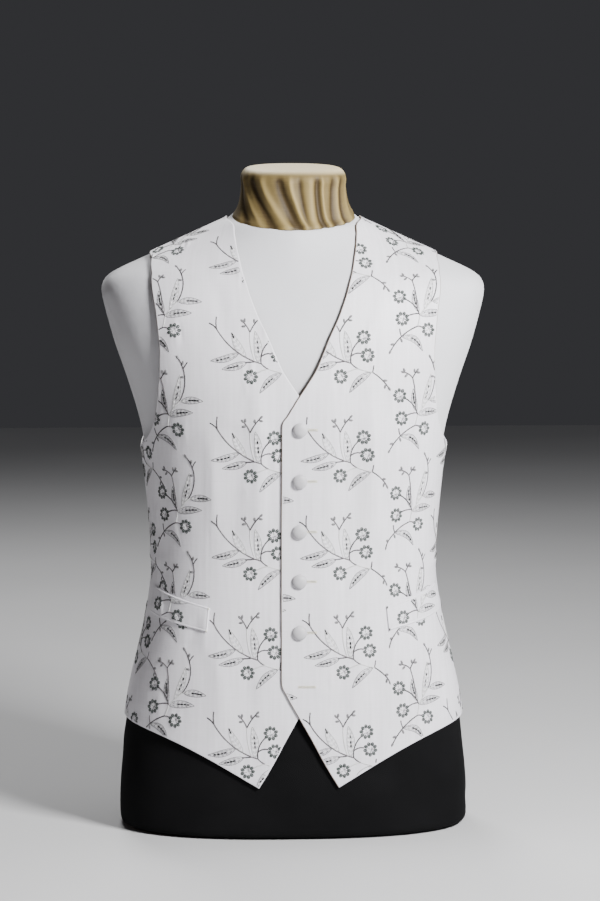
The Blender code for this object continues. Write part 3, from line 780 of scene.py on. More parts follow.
# %% The two sprays: headings and turns in degrees, lengths in millimetres
# stems: name, grows from, part way along it, heading, length, turn, thread, what its end carries
# leaves: grows from, part way along it, heading, length, width, bend, kind
SPRAYS = {
    "spreading": {
        "stems": (
            ("middle", "hub", 0.0, 100, 27, -60, "grey", "flower"),
            ("short", "middle", 0.25, 45, 13, -60, "grey", "flower"),
            ("root", "hub", 0.0, -50, 10, 25, "grey", ""),
            ("low_left", "root", 1.0, 190, 14, 20, "silver", "flower"),
            ("low_right", "root", 1.0, -20, 18, 10, "silver", ""),
            ("tail", "low_right", 1.0, -30, 26, -25, "grey", "buds"),
            ("spur", "low_right", 1.0, 75, 8, 10, "grey", ""),
            ("long", "hub", 0.0, 165, 66, -45, "grey", ""),
            ("long_left", "long", 1.0, 125, 11, 35, "grey", ""),
            ("long_right", "long", 1.0, 100, 14, -20, "grey", ""),
            ("rise", "long", 0.12, 112, 34, -25, "silver", ""),
            ("fork_left", "rise", 1.0, 110, 14, 25, "grey", "buds"),
            ("fork_right", "rise", 1.0, 65, 20, -20, "grey", "buds"),
            ("stub", "long", 0.1, 190, 11, -10, "grey", ""),
        ),
        "leaves": (
            ("long", 0.3, 120, 32, 8.5, 1.5, "tipped"),
            ("long", 0.05, 95, 36, 9.0, -1.5, "sparse"),
            ("long", 0.42, 195, 34, 7.5, 2.0, "dashed"),
            ("stub", 0.8, 195, 30, 8.0, 1.0, "dashed"),
            ("low_right", 0.9, 222, 34, 8.0, -2.5, "dashed"),
        ),
    },
    "upright": {
        "stems": (
            ("middle", "hub", 0.0, 110, 26, 45, "grey", "flower"),
            ("short", "middle", 0.1, 175, 14, 30, "grey", "flower"),
            ("drop", "hub", 0.0, -100, 13, -5, "silver", ""),
            ("low_right", "drop", 1.0, 0, 6, -20, "grey", "flower"),
            ("tail", "drop", 1.0, 200, 44, 40, "grey", "buds"),
            ("under", "tail", 0.5, 120, 9, -30, "grey", ""),
            ("rise", "hub", 0.0, 50, 22, -5, "silver", ""),
            ("spur", "rise", 1.0, 10, 6, -15, "silver", ""),
            ("long", "rise", 1.0, 55, 52, 70, "grey", "buds"),
            ("twig", "long", 0.75, 65, 9, -20, "grey", ""),
            ("high", "middle", 0.25, 88, 36, 20, "grey", ""),
            ("high_left", "high", 1.0, 130, 13, 40, "grey", "buds"),
            ("high_right", "high", 1.0, 60, 9, -10, "grey", "buds"),
        ),
        "leaves": (
            ("hub", 0.0, 6, 32, 8.5, 1.5, "dashed"),
            ("spur", 0.4, 0, 27, 8.0, 1.0, "dashed"),
            ("middle", 0.15, 102, 27, 7.0, 1.5, "dashed"),
            ("rise", 0.45, 75, 41, 8.0, -1.5, "sparse"),
            ("tail", 0.5, -32, 31, 7.5, 5.5, "dashed"),
        ),
    },
}
REPEAT_V = 0.1133
HUB_COLUMNS = {
    1: {"spreading": (0.4357, (-0.119, 0.06, 0.239)), "upright": (0.3763, (-0.05, 0.1428, 0.322))},
    -1: {"spreading": (0.4357, (-0.2226, -0.0436, 0.135)), "upright": (0.3763, (-0.334, -0.1552, 0.024))},
}
PETALS, PETAL_SIDES = 9, 7
PETAL_RING, PETAL_LONG, PETAL_WIDE = 6.2, 2.05, 1.55
MIDDLE_STROKES = (
    (-1.1, 1.6, 4.2, 0.2),
    (-0.5, 0.6, 4.0, 0.0),
    (0.1, 1.0, 4.2, 0.1),
    (0.6, 0.6, 4.0, 0.0),
    (1.2, 1.6, 4.2, 0.3),
    (2.2, 0.6, 3.4, 0.9),
    (3.1, 0.4, 3.4, 0.3),
    (4.0, 0.6, 3.2, 0.9),
)
STITCH_LENGTH, FLOWER_REACH = 1.9, 8.0
STEM_WIDTHS = {"grey": 1.75, "silver": 1.5}
BUD_PLACES = ((0.55, 1, 50), (0.8, -1, -50), (1.0, 0, 0))
BUD_ASIDE, BUD_AHEAD = 3.4, 1.6


def heading_of(degrees):
    """The direction at an angle in degrees."""
    return np.array([math.cos(math.radians(degrees)), math.sin(math.radians(degrees))])


def grown_stems(spray):
    """Each stem of a spray as even places along it, grown from the stems before it."""
    paths = {"hub": np.zeros((2, 2))}
    for name, grows_from, part_way, heading, length, turn, _, _ in spray["stems"]:
        count = max(2, int(round(length / STITCH_LENGTH)))
        ways = [heading_of(heading + turn * (k + 0.5) / count) * length / count for k in range(count)]
        start = paths[grows_from][int(round(part_way * (len(paths[grows_from]) - 1)))]
        paths[name] = start + np.concatenate([[(0, 0)], np.cumsum(ways, axis=0)])
    return paths


def flower_places(spray):
    """Where a spray's flowers are: a ring's reach past the ends of their stems."""
    paths = grown_stems(spray)
    return [
        paths[name][-1] + heading_of(heading + turn) * FLOWER_REACH
        for name, _, _, heading, _, turn, _, carries in spray["stems"]
        if carries == "flower"
    ]


SPRAY_FLOWERS = {name: flower_places(spray) for name, spray in SPRAYS.items()}
print("flowers:", {name: len(places) for name, places in SPRAY_FLOWERS.items()})


# %% Stitches of one spray, in millimetres
def stem_stitches(path, width, shade):
    """Short overlapping stitches along a stem, each leaning a little, as in stem stitch."""
    out = []
    for k, (a, b) in enumerate(zip(path, path[1:])):
        way = (b - a) / np.linalg.norm(b - a)
        side = np.array([-way[1], way[0]]) * 0.14 * (1 if k % 2 else -1)
        out.append((*(a - way * 0.4 + side), *(b + way * 0.4 - side), width, 0.0, shade))
    return out


def bud_stitches(path, heading):
    """Three small padded buds near the end of a stem, with a painted highlight on each raised middle stitch."""
    out = []
    for part_way, side, turned in BUD_PLACES:
        way = heading_of(heading + turned)
        across = np.array([-way[1], way[0]])
        middle = path[int(round(part_way * (len(path) - 1)))] + way * (BUD_ASIDE if side else BUD_AHEAD)
        for off, long in ((-1, 2.0), (0, 2.6), (1, 2.0)):
            a, b = middle - way * long + across * off * 0.62, middle + way * long + across * off * 0.62
            # Painted highlight: the raised middle stitch of each bud gets a higher shade number
            out.append((*a, *b, 1.5, 0.05 if off else 0.2, 0.04 if off else 0.16))
    return out


def flower_stitches(x, y, turned):
    """A ring of round padded petals in sage, with painted shade on their rims and painted highlight on their raised
    centres, and an open silver middle.
    """
    sage, silver = [], []
    centre = np.array([x, y])
    for k in range(PETALS):
        angle = turned + 2 * math.pi * k / PETALS
        out = np.array([math.cos(angle), math.sin(angle)])
        side = np.array([-out[1], out[0]])
        middle = centre + out * PETAL_RING
        rim = [
            middle + out * PETAL_LONG * math.cos(t) + side * PETAL_WIDE * math.sin(t)
            for t in np.linspace(0, 2 * math.pi, PETAL_SIDES + 1)
        ]
        # Painted shade: the rim stitches of each petal get low shade numbers
        for m, (a, b) in enumerate(zip(rim, rim[1:])):
            sage.append((*a, *b, 1.4, 0.05, 0.05 + 0.2 * ((m + k) % 2)))
        # Painted highlight: the raised middle stitches of each petal get high shade numbers
        for off in (-0.45, 0.45):
            a, b = middle + side * off - out * 0.95, middle + side * off + out * 0.95
            sage.append((*a, *b, 1.15, 0.22, 0.45 + 0.25 * (k % 2)))
    for angle, near, far, shade in MIDDLE_STROKES:
        out = np.array([math.sin(turned + angle), -math.cos(turned + angle)])
        silver.append((*(centre + out * near), *(centre + out * far), 0.85, 0.0, shade))
    return sage, silver


LEAF_SHADES = {"dashed": (0.03, 0.52), "tipped": (0.35, 0.95), "sparse": (0.3, 0.9)}
LEAF_DASHES = {"dashed": (0.34, 0.46, 0.58, 0.7), "tipped": (0.8, 0.9), "sparse": (0.3, 0.42, 0.6)}
DASH_LENGTH = 3.6


def leaf_stitches(start, heading, long, width, bend, kind):
    """A leaf: slanting silver fill, a fine outline, and charcoal dashes for its rib."""
    way = heading_of(heading)
    side = np.array([-way[1], way[0]])

    def rib(t):
        return start + way * long * t + side * bend * math.sin(math.pi * t)

    def half(t):
        return 0.5 * width * math.sin(math.pi * t**0.85) ** 0.8 if 0 < t < 1 else 0.0

    outline_shade, fill_shade = LEAF_SHADES[kind]
    silver, dark = [], []
    count = max(8, int(long / 1.25))
    for k in range(1, count):
        t = k / count
        for way_out in (-1, 1):
            if half(t) > 0.6:
                a = rib(t) + side * way_out * 0.35
                b = rib(min(t + 0.055, 1.0)) + side * way_out * (half(t) - 0.35)
                silver.append((*a, *b, 0.66, 0.0, fill_shade - 0.45 * ((k // 2 + way_out) % 2)))
    edge = np.linspace(0, 1, max(10, int(long / 1.9)))
    for way_out in (-1, 1):
        line = [rib(t) + side * way_out * half(t) for t in edge]
        for a, b in zip(line, line[1:]):
            silver.append((*a, *b, 0.78, 0.05, outline_shade))
    for t in LEAF_DASHES[kind]:
        a, b = rib(t), rib(t + DASH_LENGTH / long)
        dark.append((*a, *b, 2.0, 0.15, 0.3))
    return silver, dark


def spray_stitches(spray):
    """All the stitches of a spray, by thread."""
    threads = {"sage": [], "grey": [], "silver": [], "charcoal": []}
    for k, (x, y) in enumerate(flower_places(spray)):
        sage, silver = flower_stitches(x, y, 0.3 + 0.9 * k)
        threads["sage"] += sage
        threads["silver"] += silver
    paths = grown_stems(spray)
    for k, (name, _, _, heading, _, turn, thread, carries) in enumerate(spray["stems"]):
        shade = 0.62 if thread == "silver" else 0.15 + 0.15 * (k % 4)
        threads[thread] += stem_stitches(paths[name], STEM_WIDTHS[thread], shade)
        if carries == "buds":
            threads["silver"] += bud_stitches(paths[name], heading + turn)
    for grows_from, part_way, *leaf in spray["leaves"]:
        path = paths[grows_from]
        silver, dark = leaf_stitches(path[int(round(part_way * (len(path) - 1)))], *leaf)
        threads["silver"] += silver
        threads["charcoal"] += dark
    return {name: np.array(found) for name, found in threads.items()}


SPRAY_STITCHES = {name: spray_stitches(spray) for name, spray in SPRAYS.items()}
print("stitches:", {name: {t: len(s) for t, s in found.items()} for name, found in SPRAY_STITCHES.items()})


# %% Sprays laid over each front, and the puckers round their flowers
def hubs_over(side, shift=(0.0, 0.0)):
    """The places of the sprays on one front's flat cloth."""
    found = []
    for name, (v, columns) in HUB_COLUMNS[side].items():
        for u in columns:
            found += [(name, u + shift[0], v + shift[1] + row * REPEAT_V) for row in range(-4, 5)]
    return [hub for hub in found if 0.0 < hub[2] < 0.82]


def eased(u, v, side):
    """How a dart draws in the cloth beside it, and how the hips spread and lift it."""
    beside = smooth_step(np.abs(u), 0.1, 0.112)
    take, fades_from, fades_to = DART_TAKES[side]
    long = smooth_step(v, 0.1, 0.2) * (1 - smooth_step(v, fades_from, fades_to))
    hips = 1 - smooth_step(v, 0.24, 0.33)
    out = side * HIPS_SPREAD * hips - np.sign(u) * take * beside * long
    return out, HIPS_LIFT * hips * smooth_step(np.abs(u), 0.09, 0.16)


PUCKERS_A_FLOWER, PUCKER_WIDTH = 5, 0.0022
PUCKER_RISE, PUCKER_SINK = (0.00028, 0.0007), (0.00015, 0.00036)
DART_TAKES = {1: (0.0045, 0.35, 0.45), -1: (0.01, 0.42, 0.49)}
HIPS_SPREAD, HIPS_LIFT = 0.004, 0.003


def pucker_lines(side):
    """Short upright puckers around the flowers of a front, as creases."""
    chance = np.random.default_rng(41 + side)
    lines = []
    for name, hub_u, hub_v in hubs_over(side):
        for x, y in SPRAY_FLOWERS[name]:
            u, v = hub_u + x / 1000, hub_v + y / 1000
            for _ in range(PUCKERS_A_FLOWER):
                low_u, low_v = u + chance.uniform(-0.012, 0.012), v + chance.uniform(-0.026, 0.004)
                length, lean = chance.uniform(0.012, 0.03), chance.uniform(-0.003, 0.003)
                rises = chance.random() < 0.55
                height = chance.uniform(*PUCKER_RISE) if rises else -chance.uniform(*PUCKER_SINK)
                lines.append((low_u, low_v, low_u + lean, low_v + length, PUCKER_WIDTH, height, 0.0))
    return lines


FRONT_PUCKERS = {side: pucker_lines(side) for side in (1, -1)}


def front_relief(u, v, side, from_seams):
    """How far a front's cloth stands out from its smooth form; seams hold it down."""
    held = smooth_step(from_seams, 0.0, FLATTEST_NEAR_SEAM)
    raised = crease_height(u, v, FRONT_CREASES[side]) + crease_height(u, v, FRONT_PUCKERS[side])
    return raised * held


print("sprays on each front:", {side: len(hubs_over(side)) for side in (1, -1)})


# %% [markdown]
# ## Cloth shells
#
# Each panel becomes one thin closed shell. Its two faces are the same grid at two offsets, and they share
# the points of the outline, where both offsets meet in the middle of the wall. That gives a turned edge
# with a true round profile and no holes. The inner face of a front takes the lining. The flat chart gives
# the UV map, in metres, so a thread in the weave has the same size everywhere.


# %% Shell of a panel
def placed(name, data):
    """A new object in the scene."""
    made = bpy.data.objects.new(name, data)
    bpy.context.scene.collection.objects.link(made)
    return made


def keep_values(mesh, name, values, kind="FLOAT"):
    """Keeps a number or a vector for each point of a mesh."""
    key = "value" if kind == "FLOAT" else "vector"
    mesh.attributes.new(name, kind, "POINT").data.foreach_set(key, np.asarray(values, float).ravel())


def mesh_piece(name, points, faces, flat, finishes):
    """A smooth piece with each point's flat place as its UV map."""
    mesh = bpy.data.meshes.new(name)
    mesh.from_pydata(points.tolist(), [], faces)
    corner_at = np.empty(len(mesh.loops), int)
    mesh.loops.foreach_get("vertex_index", corner_at)
    mesh.uv_layers.new(name="flat").data.foreach_set("uv", flat[corner_at].ravel())
    mesh.shade_smooth()
    for finish in finishes:
        mesh.materials.append(finish)
    return placed(name, mesh)


def shell_piece(name, places, distances, base, wall, relief, side, flat, finishes):
    """A closed shell of cloth. places are heights and turns; base is the inner face's offset."""
    z, turn = places
    nearest = np.minimum.reduce(list(distances.values()))
    half = 0.5 * wall * np.sqrt(1 - (1 - np.clip(nearest / (0.5 * wall), 0, 1)) ** 2)
    points, normals = form_points(z, turn), form_normals(z, turn)
    middle = base + 0.5 * wall + relief
    flip = np.array([side, 1.0, 1.0])
    outer, inner = ((points + normals * (middle + way * half)[..., None]) * flip for way in (1, -1))
    rows, columns = z.shape
    outer_at = np.arange(rows * columns).reshape(rows, columns)
    inner_at = outer_at.copy()
    inner_at[1:-1, 1:-1] = rows * columns + np.arange((rows - 2) * (columns - 2)).reshape(rows - 2, columns - 2)
    corners = []
    for at, turned in ((outer_at, False), (inner_at, True)):
        four = np.stack([at[:-1, :-1], at[:-1, 1:], at[1:, 1:], at[1:, :-1]], axis=-1).reshape(-1, 4)
        corners.append(four[:, ::-1] if turned else four)
    faces = np.vstack(corners)
    # A grid whose turns run the other way round the body would be inside out
    if (side < 0) != bool(turn[0, -1] < turn[0, 0]):
        faces = faces[:, ::-1]

    def both(on_outer, on_inner):
        """Values at every point: the outer face's, then those inside the inner face's outline."""
        return np.concatenate([a.reshape(-1, *a.shape[2:]) for a in (on_outer, on_inner[1:-1, 1:-1])])

    # The under front gets the painted taupe rim line, lining's edge and painted shadow, at the armhole only
    rim_line_distance = np.minimum(distances["inner"], distances["side"]) if side > 0 else distances["side"]
    line = 1 - smooth_step(rim_line_distance, *LINING_AND_SHADOW_LINE)
    flat = np.stack(flat, axis=-1)
    piece = mesh_piece(name, both(outer, inner), faces.tolist(), both(flat, flat), finishes)
    piece.data.polygons.foreach_set("material_index", np.repeat([0, len(finishes) - 1], len(corners[0])))
    keep_values(piece.data, "lining_and_shadow_line", both(line, np.zeros(line.shape)))
    return piece


def finish_piece(piece, node):
    """The piece stands for a node and rides on the one body."""
    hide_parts(node)
    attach(piece, "root")
    return piece


def triangles(piece):
    """How many triangles a piece has."""
    return sum(len(face.vertices) - 2 for face in piece.data.polygons)


def cloth_piece(node, cloth, slot_name, *shell):
    """A shell of cloth that stands for a node."""
    made = shell_piece(f"{node}_{cloth}", *shell)
    return finish_piece(made, node)


# Width of the painted taupe rim line on the outer face: the lining's edge and painted shadow
LINING_AND_SHADOW_LINE = (0.0006, 0.0012)

# %% Silk fronts
for side, word in ((1, "left"), (-1, "right")):
    z, turn, distances = FRONT_GRID
    u, v = to_flat(z, turn, False)
    u = u * side
    from_seams = np.minimum(distances["side"] + 0.02 * (z > 0.45), distances["top"])
    relief = front_relief(u, v, side, from_seams)
    shell = (z, turn), distances, front_offset(z, turn, side > 0), FRONT_WALL, relief, side, (u, v), (SILK, LINING)
    cloth_piece("front_" + word, "silk", "embroidered_silk", *shell)

# %% Satin backs
BACK_WIDER, BACK_HIGHER = {1: 1.1, -1: 0.95}, {1: 0.9, -1: 1.05}
for side, word in ((1, "left"), (-1, "right")):
    z, turn, distances = BACK_GRID
    u, v = to_flat(z, turn, True)
    creases = [
        (u0, v0, u1, v1, width * BACK_WIDER[side], height * BACK_HIGHER[side], bow * side)
        for u0, v0, u1, v1, width, height, bow in BACK_CREASES
    ]
    held = np.minimum(distances["inner"] + 0.006, np.minimum(distances["side"], distances["top"]))
    relief = crease_height(u, v, creases) * smooth_step(held, 0.0, FLATTEST_NEAR_SEAM)
    shell = (z, 2 - turn), distances, ease(z), BACK_WALL, relief, side, (u * side, v), (BACK_CLOTH,)
    cloth_piece("back_" + word, "satin", "back_satin", *shell)

# %% [markdown]
# ## Welts
#
# The pockets are closed by slanting welts, narrow doubled strips of the same silk. A welt is built like a
# front, from the front's own places moved out, so it lies on the silk all along. Its edges are pressed and
# understitched, which shows as a small ridge with a shallow groove inside it.

# %% Two welts
WELT_ROWS, WELT_SPAN, FRONT_COLUMNS_OF_FACES, WELT_WALL = (7, 8), (7, 12), 14, 0.0016
WELT_LIES_AT = 0.00005
WELT_RIM = np.array([0.0, 0.00015, 0.0004, 0.0008, 0.0012, 0.0017, 0.0023, 0.003])
WELT_LENGTH, WELT_HEIGHT = 0.072, 0.024
RIDGE, GROOVE, RIDGE_WIDTH = (0.00022, 0.0009), (0.0002, 0.0024), 0.0006


def welt_places():
    """The heights and turns of a welt's fine grid."""
    stations = panel_stations(FRONT_ROWS)
    low, high = stations[WELT_ROWS[0]], stations[WELT_ROWS[1]]
    at = low + (high - low) * spread(WELT_HEIGHT, 14, WELT_RIM)
    first, last = (column / FRONT_COLUMNS_OF_FACES for column in WELT_SPAN)
    share = first + (last - first) * spread(WELT_LENGTH, 40, WELT_RIM)
    return panel_places(FRONT_ROWS, at, share[None, :], FRONT_WALL, False)


def along_edges(nearest, height, place):
    """A soft line all round a welt: its height, and its place in from the edge."""
    return height * np.exp(-(((nearest - place) / RIDGE_WIDTH) ** 2))


WELTS, WELT_OUTLINE = {}, {}
for side, word in ((1, "left"), (-1, "right")):
    z, turn = welt_places()
    base = front_offset(z, turn, side > 0) + FRONT_WALL + WELT_LIES_AT
    distances = edge_distances(z, turn, base + WELT_WALL)
    nearest = np.minimum.reduce(list(distances.values()))
    u, v = to_flat(z, turn, False)
    u = u * side
    under = front_relief(u, v, side, np.full(u.shape, 1.0))
    relief = under + along_edges(nearest, *RIDGE) - along_edges(nearest, *GROOVE)
    shell = (z, turn), distances, base, WELT_WALL, relief, side, (u, v), (SILK,)
    WELTS[side] = cloth_piece("welt_" + word, "silk", "embroidered_silk", *shell)
    mesh = WELTS[side].data
    mesh.attributes["lining_and_shadow_line"].data.foreach_set("value", np.zeros(len(mesh.vertices)))
    WELT_OUTLINE[side] = np.array([(u[i, j], v[i, j]) for i, j in ((0, 0), (0, -1), (-1, -1), (-1, 0))])

# %% [markdown]
# ## Thread
#
# Embroidery thread is glossy floss. Each stitch carries a shade number, and the thread's finish turns it
# into a tone between a dark and a light one. The number gives neighbouring stitches their own tones, and on
# petals and buds it also paints shade on the rims and a highlight on the raised middles. Fine ridges across
# the floss are a bump on Object coordinates.

# %% Thread finishes
THREAD_COLOURS = {
    "sage": ((0.016, 0.022, 0.019), (0.135, 0.165, 0.15)),
    "grey": ((0.026, 0.022, 0.025), (0.17, 0.155, 0.165)),
    "silver": ((0.07, 0.068, 0.074), (0.93, 0.93, 0.92)),
    "charcoal": ((0.003, 0.003, 0.0035), (0.01, 0.01, 0.011)),
    "cream": ((0.7, 0.67, 0.54), (0.88, 0.86, 0.76)),
    "shadow": ((0.3, 0.265, 0.19), (0.4, 0.36, 0.27)),
}


def make_thread(name, dark, light):
    """A floss whose tone follows each stitch's shade number, which holds its own tone and, on petals and buds,
    painted shade and highlight.
    """
    made, tree, shader = new_finish("thread_" + name, 0.42, 0.04, Specular_IOR_Level=0.35)
    floss = noise(tree, object_place(tree), 2600.0, 1.0)
    tone = ((floss - 0.5) * 0.5 + kept_value(tree, "shade")).maths("MINIMUM", 1.0)
    dress(shader, blend_colours(tree, tone, dark, light), floss, 0.00008)
    return made


THREADS = {name: make_thread(name, *pair) for name, pair in THREAD_COLOURS.items()}
print("threads:", list(THREADS))

# %% [markdown]
# ## Stitches with Geometry Nodes
#
# Thousands of stitches are one small spindle repeated. The tree below takes a cloud of points, each with
# the stitch's way, the cloth's outward direction, its length and its width, sets one spindle on each, and
# ends by making them real and giving them their thread. The result is turned into a plain mesh, so the
# modifier is gone before the piece is handed to the frame.


# %% The stitch tree
def stitch_tree():
    """A spindle on every point, turned along the stitch and lying on the cloth."""
    inputs = {
        "Geometry": ("Geometry", None),
        "Sides": ("Int", 4),
        "Rings": ("Int", 3),
        "Flatness": ("Float", 0.6),
        "Uneven width": ("Float", 0.12),
        "Seed": ("Int", 7),
        "Thread": ("Material", None),
    }
    tree, given, out = new_group("stitches", "GeometryNodeTree", inputs, {"Geometry": "Geometry"})

    def attribute(name, kind):
        return signal(tree, "GeometryNodeInputNamedAttribute", {"Name": name}, data_type=kind)

    shape = {"Segments": given["Sides"], "Rings": given["Rings"], "Radius": 0.5}
    ball = signal(tree, "GeometryNodeMeshUVSphere", shape)
    lying = signal(tree, "GeometryNodeTransform", {"Geometry": ball, "Rotation": (0, math.pi / 2, 0)})
    align = "FunctionNodeAlignRotationToVector"
    outward = signal(tree, align, {"Vector": attribute("out", "FLOAT_VECTOR")}, axis="Z")
    ways = {"Rotation": outward, "Vector": attribute("along", "FLOAT_VECTOR")}
    turned = signal(tree, align, ways, axis="X", pivot_axis="Z")
    uneven = given["Uneven width"]
    between = {"Min": uneven * -1.0 + 1.0, "Max": uneven + 1.0, "Seed": given["Seed"]}
    chance = signal(tree, "FunctionNodeRandomValue", between, out=1, data_type="FLOAT")
    width = attribute("width", "FLOAT") * chance
    scale = {0: attribute("reach", "FLOAT"), 1: width, 2: width * given["Flatness"]}
    size = signal(tree, "ShaderNodeCombineXYZ", scale)
    each = {"Points": given["Geometry"], "Instance": lying, "Rotation": turned, "Scale": size}
    made = signal(tree, "GeometryNodeInstanceOnPoints", each)
    made = signal(tree, "GeometryNodeRealizeInstances", {"Geometry": made})
    made = signal(tree, "GeometryNodeSetShadeSmooth", {"Geometry": made})
    made = signal(tree, "GeometryNodeSetMaterial", {"Geometry": made, "Material": given["Thread"]})
    set_input(out, "Geometry", made)
    return tree


STITCH_TREE = stitch_tree()


def stitch_piece(name, centres, thread, vectors, numbers, **sizes):
    """A plain mesh of stitches, one for each centre. vectors and numbers are what the tree reads on each."""
    mesh = bpy.data.meshes.new(name + "_points")
    mesh.from_pydata(centres.tolist(), [], [])
    for kind, found in (("FLOAT_VECTOR", vectors), ("FLOAT", numbers)):
        for label, values in found.items():
            keep_values(mesh, label, values, kind)
    points = placed(name + "_points", mesh)
    modifier = points.modifiers.new("stitches", "NODES")
    modifier.node_group = STITCH_TREE
    wanted = {"Thread": thread, **sizes}
    for item in STITCH_TREE.interface.items_tree:
        if item.in_out == "INPUT" and item.name in wanted:
            modifier[item.identifier] = wanted[item.name]
    graph = bpy.context.evaluated_depsgraph_get()
    plain = bpy.data.meshes.new_from_object(points.evaluated_get(graph), depsgraph=graph)
    plain.name = name
    piece = placed(name, plain)
    points.modifiers.remove(modifier)
    bpy.data.objects.remove(points)
    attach(piece, "root")
    return piece


print("stitch tree nodes:", len(STITCH_TREE.nodes))

# %% [markdown]
# ## Embroidering the fronts
#
# The stitches drawn flat are sent to the body. A stitch is kept where the cloth is in sight and uncut: in
# the panel's outline, clear of its turned edges, not under the lap, not under a button and not under a
# welt. A welt is cut from another place in the same cloth, so its own piece of the sprays is shifted a
# little, as happens on a real garment.

# %% Where stitches are kept
BUTTON_X, BUTTON_TOP_Z, BUTTON_STEP, BUTTON_COUNT = 0.001, 0.474, 0.0584, 5
BUTTON_RADIUS = 0.0084
UNDER_LAP_U = -0.019
WELT_SHIFT = {1: (0.005, -0.007), -1: (-0.006, 0.006)}
EDGE_CLEAR = 0.0013
ROUNDED_ENDS = 1.15


def outline_of(side):
    """A front's outline on the flat cloth."""
    z, turn, _ = FRONT_GRID
    u, v = to_flat(z, turn, False)
    ring = [np.concatenate([a[0, ::3], a[::3, -1], a[-1, ::-3], a[::-3, 0]]) for a in (u * side, v)]
    return np.stack(ring, axis=1)


def inside_by(points, ring):
    """Signed distance of points into a closed outline, negative outside."""
    a, b = ring, np.roll(ring, -1, axis=0)
    way = b - a
    length = np.maximum((way**2).sum(axis=1), 1e-16)
    crossings = np.zeros(len(points), int)
    nearest = np.full(len(points), 1e9)
    for start, step, size, end in zip(a, way, length, b):
        over = points - start
        t = np.clip(over @ step / size, 0, 1)
        nearest = np.minimum(nearest, np.linalg.norm(over - t[:, None] * step, axis=1))
        spans = (start[1] > points[:, 1]) != (end[1] > points[:, 1])
        if spans.any():
            reach = start[0] + (points[:, 1] - start[1]) * step[0] / (step[1] if step[1] else 1e-12)
            crossings += spans & (points[:, 0] < reach)
    return np.where(crossings % 2 == 1, nearest, -nearest)


def laid_stitches(side, thread, shift=(0.0, 0.0)):
    """One thread's stitches over a whole front: ends, width, lift and shade, in metres on the flat cloth."""
    found = []
    for name, u, v in hubs_over(side, shift):
        stitches = SPRAY_STITCHES[name][thread].copy()
        stitches[:, :6] /= 1000
        stitches[:, [0, 2]] += u
        stitches[:, [1, 3]] += v
        found.append(stitches)
    laid = np.vstack(found)
    for end in (0, 2):
        out, up = eased(laid[:, end], laid[:, end + 1], side)
        laid[:, end] += out
        laid[:, end + 1] += up
    return laid


def button_places():
    """The buttons' places on the flat cloth."""
    z = BUTTON_TOP_Z - BUTTON_STEP * np.arange(BUTTON_COUNT)
    turn = turn_of(np.full(BUTTON_COUNT, BUTTON_X), z, FRONT_WALL, False)
    return np.stack(to_flat(z, turn, False), axis=1)


BUTTONS_FLAT = button_places()
OUTLINES = {side: outline_of(side) for side in (1, -1)}


def kept(side, stitches, on_welt):
    """Which stitches show on a front, or on its welt."""
    ends = [stitches[:, 0:2], stitches[:, 2:4]]
    keep = np.ones(len(stitches), bool)
    for end in ends:
        keep &= inside_by(end, OUTLINES[side]) > EDGE_CLEAR
        welt = inside_by(end, WELT_OUTLINE[side])
        keep &= (welt > 0.0022) if on_welt else (welt < -0.0008)
        if side < 0:
            keep &= end[:, 0] < UNDER_LAP_U
        else:
            for place in BUTTONS_FLAT:
                keep &= np.linalg.norm(end - place, axis=1) > BUTTON_RADIUS + 0.0004
    return stitches[keep]


def on_front(side, flat_u, flat_v, extra):
    """Points and outward directions on a front's outer face, this much further out."""
    z, share = from_flat(flat_u, flat_v, False)
    turn = share * side
    relief = front_relief(flat_u, flat_v, side, np.full(len(flat_u), 1.0))
    offset = front_offset(z, turn, side > 0) + FRONT_WALL + relief + extra
    normals = form_normals(z, turn)
    flip = np.array([side, 1.0, 1.0])
    return (form_points(z, turn) + normals * offset[:, None]) * flip, normals * flip


def sewn(name, side, stitches, extra, thread, **sizes):
    """Stitches given by their ends on the flat cloth, sewn to a front."""
    start, out_a = on_front(side, stitches[:, 0], stitches[:, 1], extra + stitches[:, 5])
    end, out_b = on_front(side, stitches[:, 2], stitches[:, 3], extra + stitches[:, 5])
    reach = np.linalg.norm(end - start, axis=1) * ROUNDED_ENDS
    vectors = {"along": end - start, "out": out_a + out_b}
    numbers = {"reach": reach, "width": stitches[:, 4], "shade": stitches[:, 6]}
    return stitch_piece(name, 0.5 * (start + end), THREADS[thread], vectors, numbers, **sizes)


# %% Embroidery pieces
EMBROIDERY = {1: [], -1: []}
for side, word in ((1, "left"), (-1, "right")):
    for thread in ("sage", "grey", "silver", "charcoal"):
        plain = kept(side, laid_stitches(side, thread), on_welt=False)
        welt = kept(side, laid_stitches(side, thread, WELT_SHIFT[side]), on_welt=True)
        both = np.vstack([plain, welt])
        extra = np.repeat([0.00008, WELT_LIES_AT + WELT_WALL + 0.00006], [len(plain), len(welt)])
        made = sewn(f"embroidery_{word}_{thread}", side, both, extra, thread, Seed=11 + side)
        EMBROIDERY[side].append(made)
        print(made.name, len(both), "stitches", triangles(made), "triangles")

# %% [markdown]
# ## Buttonholes and tacks
#
# A keyhole buttonhole is a slit worked round with close purl stitches and closed by a bar at its inner
# end. Five of them hold buttons, so only their tails show. The sixth is open and shows its slit, and its
# button is hidden or missing behind it. The welts' inner ends have short bar tacks.

# %% Worked buttonholes
HOLE_FROM_X, HOLE_TO_X = -0.0035, 0.0195
OPEN_HOLE_Z, OPEN_HOLE_X = 0.1785, (-0.0008, 0.018)


